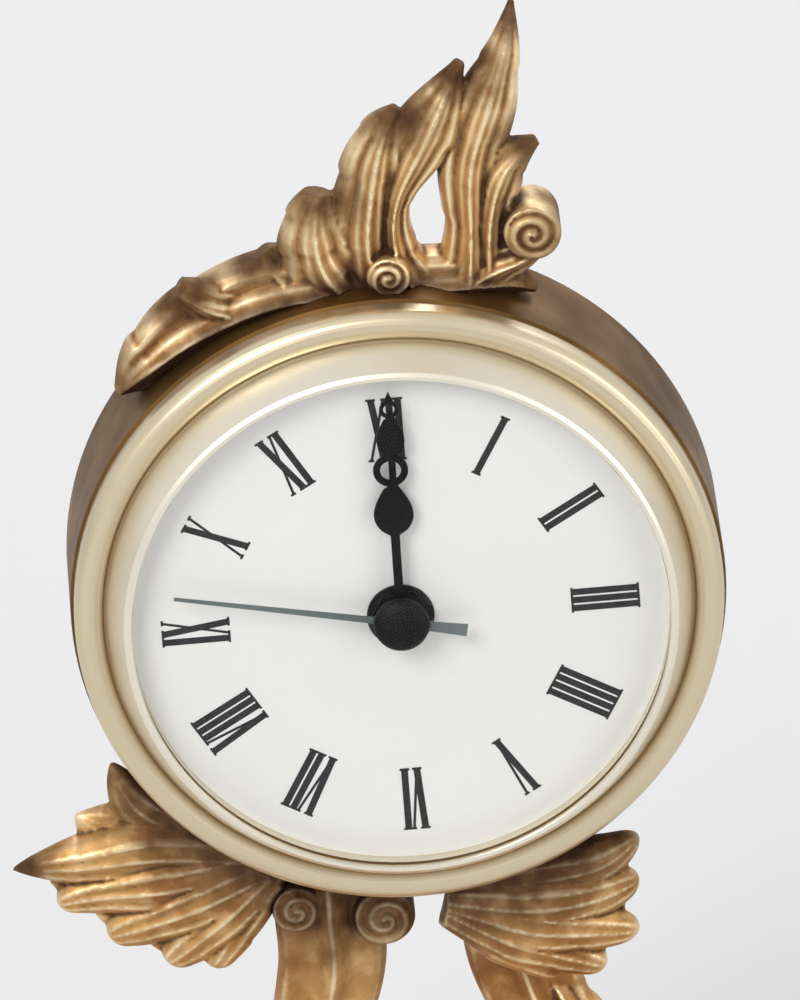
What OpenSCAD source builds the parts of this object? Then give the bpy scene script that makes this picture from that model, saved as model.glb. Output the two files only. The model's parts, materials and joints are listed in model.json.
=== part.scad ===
// Figural mantel clock: a gilt rocaille drum clock on two scroll legs, with a quartz movement.
// Millimetres. X runs to the right, Y to the back and Z up, and the origin is under the middle of the plinth.

/* [Stand] */
// Height of the middle of the dial above the floor
dial_height = 176; // [170:1:184]
// Width of the plinth
plinth_w = 154; // [146:1:170]
// Depth of the plinth
plinth_d = 76; // [70:1:90]
// Height of the feet with their felt
foot_h = 12; // [10:1:14]
// Thickness of the plinth
plinth_h = 12; // [10:1:14]
// Size of the seated figure against a head of 10 mm
figure_scale = 1.35; // [1.1:0.05:1.4]

/* [Drum] */
// Outer radius of the drum
drum_r = 54.5; // [53:0.5:56]
// Depth of the drum
drum_d = 23; // [23:0.5:30]
// Thickness of the sheet that the drum is made of
wall = 1.5; // [1:0.1:1.8]
// How far the rear door opens, in degrees, for the drawing only
door_open = 0; // [0:5:110]

/* [Dial and hands] */
// Length of the hour hand from the middle
hour_len = 33; // [28:1:34]
// Length of the minute hand from the middle
minute_len = 42; // [36:1:43]
// Length of the seconds hand from the middle
second_len = 38; // [30:1:40]
// Angle of the hour hand from twelve, clockwise
hour_angle = 0.4; // [0:0.1:359.9]
// Angle of the minute hand from twelve, clockwise
minute_angle = 1; // [0:0.1:359.9]
// Angle of the seconds hand from twelve, clockwise
second_angle = 282; // [0:1:359]
// Radius of the domed cap over the hands
hub_r = 4.65; // [4:0.05:5]
// Radius of the curve of the glass
glass_curve = 150; // [140:5:155]

/* [Movement] */
// Side of the square movement case
case_w = 56; // [55:0.5:58]
// Radius of a battery of the common AA size
battery_r = 7.1; // [6.9:0.1:7.1]
// Radius of the setting knob
knob_r = 6; // [4:0.5:7]

/* [Hidden] */
$fn = 96;

// Colours
gilt = "#b58a4c";
gilt_dark = "#8a6331";
pale_brass = "#d9c59a";
brass = "#c9a24e";
steel = "#a9adb0";
nickel = "#c9c7c0";
black = "#15161a";
grey_hand = "#7d8583";
white = "#ecece6";
case_plastic = "#2b2d31";
gear_plastic = "#e8e4d6";
board_green = "#2f6b45";
copper = "#b5652f";
felt = "#3b4a3c";

// Depths, from the front to the back, measured from the middle of the drum
front_y = -drum_d/2;
back_y = drum_d/2;
flange = 1.2;
dial_t = 0.5;
dial_y = front_y - 5.6;
lip_y = front_y - 9.6;
washer_y = dial_y + 0.5;
case_front = washer_y;
case_wall = 1.2;
inner_y = case_front + case_wall;
case_back = case_front + 15.9;
case_half = case_w/2;
inner_half = case_half - 1.5;
nut_y = dial_y - 1.9;
bush_y = dial_y - 2.1;
hour_y = dial_y - 2.5;
minute_y = dial_y - 3.2;
second_y = dial_y - 3.8;
hand_t = 0.3;

// Radii round the dial
bezel_r = drum_r - 0.5;
opening_r = drum_r - 9.9;
glass_r = opening_r + 0.7;
dial_r = opening_r + 1.7;
front_hole_r = opening_r + 0.4;
door_r = drum_r - 10;
door_hole_r = drum_r - 12;
screw_ring_r = drum_r - 3.3;
ornament = drum_r/54.5;
crest_w = 75.75;
leaf_left_w = 47.24;
leaf_right_w = 35.29;
leg_left_w = 62.8;
leg_right_w = 57.65;
foot_w = 18.74;

// Movement: axes of the wheels as seen from the front, x to the right and z up
pivot_r = 0.35;
pivot_hole_r = 0.39;
arbor_r = 0.5;
minute_arbor_r = 0.75;
fit = 0.08;
seconds_module = 0.25;
third_module = 17/72;
step_module = 0.2;
motion_distance = 8.7;
cannon_module = 2*motion_distance/(14 + 42);
hour_module = 2*motion_distance/(10 + 40);
third_dir = 130;
step_dir = 200;
rotor_dir = 215;
minute_dir = 0;
third_at = polar(seconds_module*(8 + 60)/2, third_dir);
step_at = polar(seconds_module*(10 + 60)/2, step_dir);
rotor_at = step_at + polar(step_module*(12 + 60)/2, rotor_dir);
minute_at = polar(motion_distance, minute_dir);

// Movement: the levels of the wheels
level_hour = inner_y + 0.2;
level_minute = inner_y + 1.4;
level_centre = inner_y + 2.4;
level_third = inner_y + 3.6;
level_seconds = inner_y + 4.8;
level_step = inner_y + 6;
level_stator = inner_y + 7.4;
level_bridge = inner_y + 9.2;
bridge_t = 0.8;
wheel_t = 0.6;
tube_r = 1.6;
hour_tube_r = 2.5;
bush_r = 4;
magnet_r = 2;
posts = [[-16, 14], [10, 14], [11, -9.2], [-18.9, -7]];
board_posts = [[-5, 23.5], [22, 23.5]];
battery_z = 0.1 + battery_r - inner_half + 0.4;
battery_y = (inner_y + case_back)/2;
coil_x = -22.3;
core_joints = [[coil_x, -7], [coil_x, 17.75]];

// Door and hinge
hinge_x = -(drum_r - 6.5);
hinge_y = back_y + 2.4;
barrel_r = 1.4;
hinge_half = 9;
knuckle_half = 3;
door_knob_x = door_r - 8;

// Stand
plinth_top = foot_h + plinth_h;
leg_drop = dial_height - plinth_top;
felt_t = 1;
foot_places = [[-56, -23], [56, -23], [-56, 23], [56, 23]];
leg_x = 15.7*ornament;
leg_foot_x = 52;

// Screws that hold the castings: angle clockwise from the top and depth
crest_screw_places = [[-22, 0], [16, 0]];
leaf_screw_places = [[222, 0], [153, -7]];
leg_screw_places = [[180 - 16.7, -3.5], [180 - 16.7, 3.5], [180 + 16.7, -3.5], [180 + 16.7, 3.5]];
casting_screw_r = 1.2;

// Points that the castings run through: x, z from the middle of the dial, half width, half depth, y
crest_lobes = [
    // low leaf that lies along the drum to the left, with its upturned tip
    [[-2, 53, 7, 7, 0], [-16, 53, 7, 8, 0], [-29, 48, 7.5, 7, 0], [-38, 42.5, 5.5, 5.5, -1],
     [-43.5, 37.5, 1, 2.5, -1]],
    [[-20, 50, 5, 5, -1], [-27, 52.5, 4, 5, -2], [-32.4, 55.6, 2.4, 2.4, -2.5]],
    // second, blunt leaf
    [[-3, 50, 7.5, 7, 0], [-8, 58, 7.5, 7, -1], [-9, 65.5, 5.5, 5.5, -2], [-7.8, 71, 2.8, 2.5, -2.5]],
    [[-10, 50, 7, 6, 1], [-15, 56, 5.5, 6, 0.5], [-18, 60, 2, 2.5, 0]],
    // third leaf, left of the pierced eye
    [[1, 50, 8, 7, 0], [-0.5, 62, 6.6, 7, -1], [1.2, 74, 5.6, 6, -2], [3.4, 81, 3.8, 4.5, -2.5],
        [6, 85.3, 1, 1.5, -3]],
    [[8, 50, 5.5, 7, 0], [4.2, 60, 3.6, 6.5, -1], [4.8, 69.5, 3.2, 6, -1.5], [10.6, 80.5, 5.6, 5, -2],
     [17, 92.3, 1, 1.5, -2.5]],
    // tall leaf up to the point
    [[15.5, 50, 6, 7, 0], [16.6, 62, 4.4, 6.5, 0], [17.4, 74, 5.4, 6, -0.5], [21.2, 85, 5.2, 5, -1],
     [24.4, 94, 2.8, 3, -1.5], [26.2, 102.4, 0.5, 1, -2]],
    // right hand leaf
    [[19, 52, 5.5, 6, 0.5], [20, 64, 4.4, 6, 0], [22.8, 72.5, 4.2, 5, -1], [28.6, 77, 1, 1.5, -2]],
    // foot of the crest on the right
    [[8, 53, 5, 7, 0], [17, 53, 4.5, 7, 0], [23, 51.5, 2.5, 4, 0], [27, 49.5, 1, 2, 0]],
    // stem of the curl
    [[13, 52, 5, 6.5, 0], [20, 55, 4.5, 6, -0.5], [26.2, 57.2, 2.5, 5, -1], [29.6, 60, 1.5, 4, -1]]
];
crest_curls = [[26.8, 61.6, 4.8, 5, -1], [2.5, 57, 3.6, 3.1, -5.7]];
leaf_left_lobes = [
    [[-29, -46, 6, 5, -2], [-38, -43.5, 6, 5, -2], [-45.5, -37.5, 4, 4, -2], [-49.5, -31, 1, 1.5, -1]],
    [[-28, -49, 7, 6, -2], [-43, -46.5, 7.5, 6, -3], [-57, -47, 5, 4.5, -4], [-68, -47.2, 0.6, 1, -5]],
    [[-28, -51, 7, 6, -2], [-42, -52, 7.5, 6.5, -3.5], [-54, -52.5, 5, 4.5, -4.5], [-61, -54, 1.2, 1.5, -5]],
    [[-26, -52, 6, 6, -2], [-37, -55.5, 7, 6.5, -4], [-46.5, -58.5, 5.5, 4.5, -5], [-53, -60.5, 1.2, 1.5, -5.5]],
    [[-25, -52, 6, 6, -2], [-32, -57.5, 6.5, 6, -4], [-38.5, -62.5, 5.5, 4.5, -5], [-43.5, -66.5, 1.5, 1.5, -5.5]],
    [[-25, -51, 5, 5.5, -2], [-28.5, -56.5, 5.5, 5.5, -3.5], [-32.5, -62.5, 5, 4, -4.5], [-36, -68.5, 1.5, 1.5, -5]]
];
leaf_right_lobes = [
    [[5, -56.5, 5, 4, -7], [19, -54.5, 6.5, 5, -8], [30, -53, 5, 4.5, -8], [37, -49.8, 1, 1.5, -7]],
    [[4, -58, 5, 4, -7], [18, -59, 6.5, 5.5, -9], [29, -58.5, 5.5, 4.5, -9], [36.5, -57, 1.2, 1.5, -8]],
    [[4, -59, 5, 4, -7], [17, -63, 6.5, 5.5, -9], [27, -64.5, 5.5, 4.5, -9.5], [36, -66, 1.2, 1.5, -9]],
    [[4, -60, 4, 4, -7], [14, -65, 6, 5, -9], [22.5, -68.5, 5, 4, -9.5], [30, -72, 1.5, 1.5, -9.5]],
    [[5, -61, 3, 4, -7], [12, -66, 4.5, 4.5, -8.5], [17.5, -69.5, 4, 3.5, -9], [22, -73, 1.5, 1.5, -9]]
];
leg_lobes = [
    // the leg itself, from the drum down to the plinth
    [[0, -49, 8.5, 7.5, 0], [0, -60, 9.2, 7.5, 0], [0.5, -74, 9, 7.5, 0], [7, -91, 7.6, 7, 0],
     [21, -106, 6.4, 6.5, 0], [29.5, -124, 6, 6.2, 0], [29.5, -141, 6.4, 6.5, 0], [37, -156, 8, 7.5, 0]],
    // leaf that breaks away at the knee
    [[5, -80, 5, 5, -3.5], [16, -96, 5.5, 5.5, -4], [28, -103, 4.5, 4.5, -4], [40, -101.5, 0.8, 1.5, -3]],
    [[12, -92, 4, 5, -4], [24, -108, 4.5, 5, -4], [34, -117, 3.5, 4, -4], [43, -119, 0.8, 1.5, -3]]
];
leg_curls = [[43, -146.5, 5.4, 5.5, 0], [5.4, -58.5, 4.2, 6.9, 0], [-9.2, -61.8, 5.2, 6, 0]];

// Helpers: directions and smooth curves
function polar(r, a) = [r*cos(a), r*sin(a)];
function bend(a, b, c, d, t) =
    0.5*(2*b + (c - a)*t + (2*a - 5*b + 4*c - d)*t*t + (3*b - a - 3*c + d)*t*t*t);
function along(points, t) =
    let (last = len(points) - 1, s = min(t*last, last - 0.0001), i = floor(s))
    bend(points[max(i - 1, 0)], points[i], points[i + 1], points[min(i + 2, last)], s - i);
function smooth_points(points, count) = [for (i = [0:count]) along(points, i/count)];

// Closed skin over a row of rings that turn clockwise when seen along the row
module loft(rings) {
    n = len(rings[0]);
    m = len(rings);
    sides = [for (i = [0:m - 2], k = [0:n - 1]) each [
        [i*n + k, (i + 1)*n + k, (i + 1)*n + (k + 1)%n],
        [i*n + k, (i + 1)*n + (k + 1)%n, i*n + (k + 1)%n]
    ]];
    first = [for (k = [0:n - 1]) k];
    last = [for (k = [n - 1:-1:0]) (m - 1)*n + k];
    polyhedron([for (r = rings) each r], concat([first], sides, [last]), convexity = 8);
}

// Cast leaf or scroll in the upright plane, with hollows running along its front
module cast_strip(rows, hollows, hollow_depth, sides) {
    last = len(rows) - 1;
    loft([for (i = [0:last]) let (
            row = rows[i],
            ahead = rows[min(i + 1, last)] - rows[max(i - 1, 0)],
            out = [-ahead[1], ahead[0]]/norm([ahead[0], ahead[1]])
        ) [for (k = [0:sides - 1]) let (
            u = cos(360*k/sides),
            v = sin(360*k/sides),
            dip = 1 - hollow_depth*(1 - cos(180*hollows*(1 + u)))/2,
            h = v > 0 ? v*dip : v
        ) [row[0] + out[0]*row[2]*u, row[4] - row[3]*h, row[1] + out[1]*row[2]*u]]]);
}
module cast(width) resize([width*ornament, 0, 0], auto = true) children();
module lobe(points, hollows = 1, hollow_depth = 0.4, rows = 6, sides = 9)
    cast_strip(smooth_points(points, rows), hollows, hollow_depth, sides);

// Round end of a scroll, in steps up to its eye: x, z, radius, half depth, y
module curl(c) translate([c[0], c[4], c[1]]) rotate([90, 0, 0])
    for (step = [[1, 1], [0.62, 1.12], [0.3, 1.25]])
        cylinder(h = 2*c[3]*step[1], r = c[2]*step[0], center = true, $fn = 22);

// Limb: a round tube with a swelling radius through points x, y, z, r
module limb(points, rows = 8, sides = 8) {
    all = smooth_points(points, rows);
    loft([for (i = [0:rows]) let (
            d3 = all[min(i + 1, rows)] - all[max(i - 1, 0)],
            d = [d3[0], d3[1], d3[2]]/norm([d3[0], d3[1], d3[2]]),
            side = cross(d, [0.31, 0.93, 0.2]),
            a = side/norm(side),
            b = cross(d, a)
        ) [for (k = [0:sides - 1])
            [all[i][0], all[i][1], all[i][2]] + all[i][3]*(cos(360*k/sides)*a + sin(360*k/sides)*b)]]);
}

// Upright body of rings x, y, z, half width, half depth
module trunk(points, rows = 9, sides = 12)
    loft([for (p = smooth_points(points, rows)) [for (k = [0:sides - 1])
        [p[0] + p[3]*cos(360*k/sides), p[1] + p[4]*sin(360*k/sides), p[2]]]]);

// Small ball of the castings
module bead(x, y, z, r) translate([x, y, z]) sphere(r = r, $fn = 8);

// Places round the dial
module at_dial() translate([0, 0, dial_height]) children();
module turned(profile) rotate([-90, 0, 0]) rotate_extrude() polygon(profile);
module drawn(y0, y1) translate([0, y1, 0]) rotate([90, 0, 0]) linear_extrude(y1 - y0) children();
module rod(y0, y1, r, at = [0, 0]) translate([at[0], y0, at[1]]) rotate([-90, 0, 0]) cylinder(h = y1 - y0, r = r);
module clockwise(angle) rotate([0, angle, 0]) children();
module drum_solid() rod(-60, 60, (drum_r + 0.02)/cos(1.5), $fn = 120);

// Screw along a radius of the drum, with its head inside
module radial_screw(place, clear) clockwise(place[0]) translate([0, place[1], 0]) {
    inner = drum_r - wall;
    translate([0, 0, inner - 1]) cylinder(h = 7.5, r = casting_screw_r + clear, $fn = 24);
    if (clear == 0) translate([0, 0, inner - 1.9]) cylinder(h = 1.82, r = 2.4, $fn = 32);
}
module radial_screws(places, clear) for (place = places) radial_screw(place, clear);

// Wheels: a tooth has its flanks at the root, at the pitch circle and at the tip
function tooth_outline(teeth, module_mm, tip_h, root_h, thick, tip) = let (
        r = teeth*module_mm/2,
        half = 90/teeth
    ) [for (i = [0:teeth - 1]) let (c = 360*i/teeth) each [
        polar(r - root_h*module_mm, c - thick*1.08*2*half),
        polar(r, c - thick*2*half),
        polar(r + tip_h*module_mm, c - tip*2*half),
        polar(r + tip_h*module_mm, c + tip*2*half),
        polar(r, c + thick*2*half),
        polar(r - root_h*module_mm, c + thick*1.08*2*half)
    ]];
module wheel_teeth(teeth, module_mm) polygon(tooth_outline(teeth, module_mm, 0.75, 1, 0.44, 0.22));
module pinion_teeth(teeth, module_mm) polygon(tooth_outline(teeth, module_mm, 0.55, 1.15, 0.36, 0.2));
// Angle of a wheel's first tooth so that it meshes with one that stands at another angle
function meshed(dir, first, teeth, other_teeth) =
    dir + 180 - 180/other_teeth - teeth/other_teeth*(first - dir);
// Plastic wheel with round holes between its spokes
module wheel(y, teeth, module_mm, phase) drawn(y, y + wheel_t) difference() {
    rotate(phase) wheel_teeth(teeth, module_mm);
    r = teeth*module_mm/2;
    for (i = [0:4]) rotate(72*i) translate([r*0.58, 0]) circle(r = r*0.23, $fn = 24);
}
module pinion(y0, y1, teeth, module_mm, phase) drawn(y0, y1) rotate(phase) pinion_teeth(teeth, module_mm);
module on_axis(at) translate([at[0], 0, at[1]]) children();

// Drum
module drum_case() color(gilt_dark) at_dial() difference() {
    turned([
        [front_hole_r, front_y], [drum_r - 0.6, front_y], [drum_r, front_y + 0.6],
        [drum_r, back_y - 0.8], [drum_r - 0.8, back_y], [door_hole_r, back_y],
        [door_hole_r, back_y - flange], [drum_r - wall, back_y - flange],
        [drum_r - wall, front_y + flange], [front_hole_r, front_y + flange]
    ]);
    for (i = [0:2]) clockwise(60 + 120*i) rod(front_y - 1, front_y + 3, 0.9, [0, screw_ring_r], $fn = 24);
    for (s = [-1, 1]) rod(back_y - 3, back_y + 3, 0.8, [hinge_x - 2.8, s*6.5], $fn = 24);
    radial_screws(crest_screw_places, 0.1);
    radial_screws(leaf_screw_places, 0.1);
    radial_screws(leg_screw_places, 0.1);
}

// Bezel: a bead, a groove and a slope that rises to the lip, with the seats of the glass and the dial behind
module bezel() color(pale_brass) at_dial() difference() {
    bead_r = 2.5;
    bead_at = [bezel_r - bead_r, front_y - 2.3];
    turned(concat(
        [[dial_r + 0.2, front_y], [bezel_r, front_y]],
        [for (a = [0:-12:-156]) bead_at + polar(bead_r, a)],
        [[bezel_r - 5.2, front_y - 3.9], [opening_r + 1.4, lip_y - 0.5], [opening_r + 0.8, lip_y - 0.9],
         [opening_r + 0.2, lip_y - 0.9], [opening_r, lip_y - 0.6],
         [opening_r, lip_y], [glass_r + 0.1, lip_y], [glass_r + 0.1, dial_y - dial_t - 0.05],
         [dial_r + 0.2, dial_y - dial_t - 0.05]]
    ));
    for (i = [0:2]) clockwise(60 + 120*i) rod(front_y - 2.6, front_y + 1, 0.8, [0, screw_ring_r], $fn = 24);
}
module bezel_screws() color(steel) at_dial() for (i = [0:2]) clockwise(60 + 120*i) {
    rod(front_y - 2.4, front_y + flange, 0.75, [0, screw_ring_r], $fn = 24);
    rod(front_y + flange, front_y + flange + 1, 1.5, [0, screw_ring_r], $fn = 24);
}

// Glass: a part of a sphere held behind the lip of the bezel
glass_t = 1.1;
glass_dip = glass_curve - sqrt(glass_curve*glass_curve - opening_r*opening_r);
function glass_depth(r) = lip_y - glass_dip + glass_curve - sqrt(glass_curve*glass_curve - r*r);
module glass() color("#dfeaec", 0.25) at_dial() {
    radii = [for (i = [0:24]) glass_r*i/24];
    turned(concat(
        [for (r = radii) [r, glass_depth(r)]],
        [for (i = [24:-1:0]) [radii[i], glass_depth(radii[i]) + glass_t]]
    ));
}
module glass_ring() color(pale_brass) at_dial() turned([
    [opening_r, glass_depth(glass_r) + glass_t], [glass_r + 0.05, glass_depth(glass_r) + glass_t],
    [glass_r + 0.05, dial_y - dial_t], [opening_r, dial_y - dial_t]
]);

// Dial
module dial() color(white) at_dial() difference() {
    rod(dial_y - dial_t, dial_y, dial_r);
    rod(dial_y - 3, dial_y + 1, bush_r + 0.1);
}
module spacer_ring() color(steel) at_dial() turned([
    [dial_r - 2.2, dial_y], [dial_r, dial_y], [dial_r, front_y], [dial_r - 2.2, front_y]
]);

// Hands: a stem, a leaf-shaped spade, a pierced ring and a point
module hand(y, length, ring_at, ring_r, spade_r, spade_len, stem, boss_r, hole_r) difference() {
    spade_at = ring_at - ring_r - spade_len + 0.5;
    edge = [for (i = [0:20]) let (s = 1 - abs(i/10 - 1)) [
        (i < 10 ? -1 : 1)*(stem/2 + (spade_r - stem/2)*sin(180*pow(s, 0.75))), spade_at + spade_len*s]];
    union() {
        rod(y, y + hand_t, boss_r);
        drawn(y, y + hand_t) translate([-stem/2, 0]) square([stem, ring_at - ring_r*0.6]);
        drawn(y, y + hand_t) polygon(edge);
        rod(y, y + hand_t, ring_r, [0, ring_at], $fn = 32);
        drawn(y, y + hand_t) polygon([
            [-ring_r*0.55, ring_at + ring_r*0.75], [0, length], [ring_r*0.55, ring_at + ring_r*0.75]
        ]);
    }
    rod(y - 1, y + 1, ring_r*0.6, [0, ring_at], $fn = 32);
    rod(y - 1, y + 1, hole_r);
}
module hour_hand() color(black) at_dial() clockwise(hour_angle)
    hand(hour_y, hour_len, hour_len - 5.6, 2.9, 3.3, 9.5, 1.5, 4.2, hour_tube_r);
module minute_hand() color(black) at_dial() clockwise(minute_angle)
    hand(minute_y, minute_len, minute_len - 3.2, 1.6, 2.3, 7.5, 1.2, 3.4, tube_r);
module second_hand() color(grey_hand) at_dial() clockwise(second_angle) difference() {
    union() {
        drawn(second_y, second_y + 0.2) polygon([
            [-1.1, -11], [1.1, -11], [0.65, 0], [0.3, second_len], [-0.3, second_len], [-0.65, 0]
        ]);
        rod(second_y, second_y + 0.4, 1.6);
    }
    rod(second_y - 1, second_y + 1, arbor_r);
}
module hub_cap() color(black) at_dial() turned(concat(
    [[arbor_r, second_y], [arbor_r, second_y - 0.5], [0, second_y - 0.5]],
    [for (a = [90:-15:0]) [hub_r*cos(a), second_y - 0.6 - 2.1*sin(a)]],
    [[hub_r, second_y]]
));

// What holds the movement to the dial
module rubber_washer() color(black) at_dial() turned([
    [bush_r + 0.1, dial_y], [9, dial_y], [9, washer_y], [bush_r + 0.1, washer_y]
]);
module brass_washer() color(nickel) at_dial() turned([
    [bush_r + 0.05, nut_y + 1], [5.6, nut_y + 1], [5.6, dial_y - dial_t], [bush_r + 0.05, dial_y - dial_t]
]);
module fixing_nut() color(nickel) at_dial() difference() {
    rod(nut_y, nut_y + 1, 5.2, $fn = 6);
    rod(nut_y - 1, nut_y + 2, bush_r);
}
module threaded_bush() color(brass) at_dial() turned([
    [hour_tube_r + fit, bush_y], [bush_r - 0.2, bush_y], [bush_r, bush_y + 0.2],
    [bush_r, inner_y - 0.6], [5.5, inner_y - 0.6], [5.5, inner_y], [hour_tube_r + fit, inner_y]
]);

// Movement case
module block(x0, x1, y0, y1, z0, z1) translate([x0, y0, z0]) cube([x1 - x0, y1 - y0, z1 - z0]);
module movement_front_case() color(case_plastic) at_dial() difference() {
    union() {
        difference() {
            block(-case_half, case_half, case_front, case_back, -case_half, case_half);
            block(-inner_half, inner_half, inner_y, case_back + 1, -inner_half, inner_half);
        }
        for (p = posts) rod(inner_y - 0.1, level_bridge, 1.3, p, $fn = 32);
        for (p = board_posts) rod(inner_y - 0.1, level_stator + 0.4, 1.3, p, $fn = 32);
        rod(inner_y - 0.1, level_centre - 0.3, 0.9, third_at, $fn = 32);
        rod(inner_y - 0.1, level_seconds - 0.4, 0.8, step_at, $fn = 32);
        rod(inner_y - 0.1, level_step - 0.4, 1.2, rotor_at, $fn = 32);
        block(-inner_half - 0.1, inner_half + 0.1, inner_y - 0.1, case_back - 2, -11.7, -10.8);
    }
    rod(case_front - 1, inner_y + 1, bush_r);
    rod(inner_y - 0.6, inner_y + 0.1, 5.5);
    rod(inner_y - 0.8, level_hour, pivot_hole_r, minute_at, $fn = 32);
    rod(level_centre - 1, level_centre, pivot_hole_r, third_at, $fn = 32);
    rod(level_seconds - 1, level_seconds, pivot_hole_r, step_at, $fn = 32);
    rod(level_step - 1, level_step, pivot_hole_r, rotor_at, $fn = 32);
    for (p = posts) rod(level_bridge - 3, level_bridge + 1, 0.55, p, $fn = 24);
}
module movement_rear_case() color(case_plastic) at_dial() difference() {
    union() {
        block(-case_half, case_half, case_back, case_back + 0.8, -case_half, case_half);
        block(-inner_half + 0.1, inner_half - 0.1, case_back - 1, case_back + 0.1, -10.7, inner_half - 0.1);
    }
    block(-inner_half + 1.2, inner_half - 1.2, case_back - 2, case_back, -9.6, inner_half - 1.2);
    block(-inner_half + 0.2, inner_half - 0.2, case_back - 2, case_back + 2, -inner_half + 0.2, -11.8);
    rod(case_back - 2, case_back + 2, minute_arbor_r + 0.1, minute_at);
}
module bridge_plate() color(gear_plastic) at_dial() drawn(level_bridge, level_bridge + bridge_t) difference() {
    polygon([
        [-20.6, -9.3], [-8, -10], [3, -6], [12.6, -10.7],
        [12.6, 15.6], [-17.6, 15.6], [-17.6, -3.2], [-20.6, -3.6]
    ]);
    for (p = posts) translate(p) circle(r = 0.65, $fn = 24);
    for (p = [[0, 0], third_at, step_at, rotor_at]) translate(p) circle(r = pivot_hole_r, $fn = 32);
    translate(minute_at) circle(r = minute_arbor_r + fit, $fn = 32);
}
module bridge_screws() color(steel) at_dial() for (p = posts) {
    rod(level_bridge - 2.8, level_bridge + bridge_t + 0.3, 0.5, p, $fn = 24);
    rod(level_bridge + bridge_t, level_bridge + bridge_t + 0.6, 1.1, p, $fn = 24);
}

// Stepping motor
module stator() color(steel) at_dial() drawn(level_stator, level_stator + 0.8) difference() {
    polygon([
        [-24.5, -10.4], [-10, -10.4], [-10, 20], [-24.5, 20],
        [-24.5, 15.5], [-13.5, 15.5], [-13.5, -3.2], [-24.5, -3.2]
    ]);
    translate(rotor_at) circle(r = magnet_r + 0.4);
    translate(posts[3]) circle(r = 1.35, $fn = 32);
    for (p = core_joints) translate(p) circle(r = 0.7, $fn = 24);
}
module coil_core() color(steel) at_dial() {
    drawn(level_stator + 0.8, level_stator + 1.6) difference() {
        translate([coil_x - 1.5, -9.5]) square([3, 29]);
        for (p = core_joints) translate(p) circle(r = 0.7, $fn = 24);
    }
    for (p = core_joints) rod(level_stator - 0.4, level_stator + 2, 0.7, p, $fn = 24);
}
coil_y = level_stator + 1.2;
module coil_bobbin() color(gear_plastic) at_dial() difference() {
    translate([coil_x, coil_y, -2.5]) {
        cylinder(h = 17, r = 1.9);
        cylinder(h = 0.7, r = 3.2);
        translate([0, 0, 16.3]) cylinder(h = 0.7, r = 3.2);
    }
    block(coil_x - 1.5, coil_x + 1.5, coil_y - 0.4, coil_y + 0.4, -4, 16);
}
module coil_winding() color(copper) at_dial() translate([coil_x, coil_y, -1.8]) difference() {
    cylinder(h = 15.6, r = 3);
    translate([0, 0, -1]) cylinder(h = 18, r = 1.9);
}
module circuit_board() color(board_green) at_dial() {
    difference() {
        block(-8, 25, level_stator + 0.4, level_stator + 1.2, 17, 26);
        for (p = board_posts) rod(level_stator - 1, level_stator + 3, 0.5, p, $fn = 24);
    }
    rod(level_stator + 1.1, level_stator + 1.9, 2.4, [6, 21], $fn = 32);
}
module quartz_crystal() color(steel) at_dial()
    translate([11, level_stator + 2.2, 21]) rotate([0, 90, 0]) cylinder(h = 6.5, r = 1, $fn = 32);

// Battery and its contacts
module battery() color("#8c8f93") at_dial() translate([0, battery_y, battery_z]) rotate([0, 90, 0]) {
    translate([0, 0, -24.2]) cylinder(h = 49, r = battery_r);
    cylinder(h = 26, r = 2.75);
}
module contact_positive() color(steel) at_dial()
    block(26, inner_half, battery_y - 5, battery_y + 5, battery_z - 4, battery_z + 4);
module contact_negative() color(steel) at_dial() translate([0, battery_y, battery_z]) {
    block(-inner_half, -inner_half + 0.3, -5, 5, -4, 4);
    drawn(-1.5, 1.5) polygon([
        [-inner_half + 0.2, 3.6], [-24.2, 0], [-inner_half + 0.2, -3.6],
        [-inner_half + 0.2, -3], [-24.9, 0], [-inner_half + 0.2, 3]
    ]);
}

// Wheels of the train, each on its arbor
third_phase = meshed(third_dir, 0, 8, 60);
centre_phase = meshed(third_dir + 180, 0, 8, 64);
step_phase = meshed(step_dir, 0, 60, 10);
rotor_phase = meshed(rotor_dir, 0, 60, 12);
minute_phase = meshed(minute_dir, 0, 14, 42);
hour_phase = meshed(minute_dir + 180, 0, 10, 40);
module rotor() color(gear_plastic) at_dial() on_axis(rotor_at) {
    rod(level_step - 0.9, level_step, pivot_r, $fn = 32);
    pinion(level_step - 0.2, level_step + 0.8, 12, step_module, rotor_phase);
    rod(level_step + 0.7, level_bridge - 0.3, magnet_r);
    rod(level_bridge - 0.5, level_bridge + bridge_t, pivot_r, $fn = 32);
}
module step_wheel() color(gear_plastic) at_dial() on_axis(step_at) {
    rod(level_seconds - 0.9, level_seconds, pivot_r, $fn = 32);
    pinion(level_seconds - 0.1, level_step + 0.1, 10, seconds_module, step_phase);
    wheel(level_step, 60, step_module, 0);
    rod(level_step, level_bridge - 0.2, arbor_r, $fn = 32);
    rod(level_bridge - 0.4, level_bridge + bridge_t, pivot_r, $fn = 32);
}
module seconds_wheel() color(gear_plastic) at_dial() {
    rod(second_y - 0.4, level_third + 0.1, arbor_r, $fn = 32);
    pinion(level_third - 0.2, level_seconds + 0.1, 8, seconds_module, 0);
    wheel(level_seconds, 60, seconds_module, 0);
    rod(level_seconds, level_bridge - 0.2, arbor_r, $fn = 32);
    rod(level_bridge - 0.4, level_bridge + bridge_t, pivot_r, $fn = 32);
}
module third_wheel() color(gear_plastic) at_dial() on_axis(third_at) {
    rod(level_centre - 0.9, level_centre, pivot_r, $fn = 32);
    pinion(level_centre - 0.1, level_third + 0.1, 8, third_module, 0);
    wheel(level_third, 60, seconds_module, third_phase);
    rod(level_third, level_bridge - 0.2, arbor_r, $fn = 32);
    rod(level_bridge - 0.4, level_bridge + bridge_t, pivot_r, $fn = 32);
}
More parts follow.
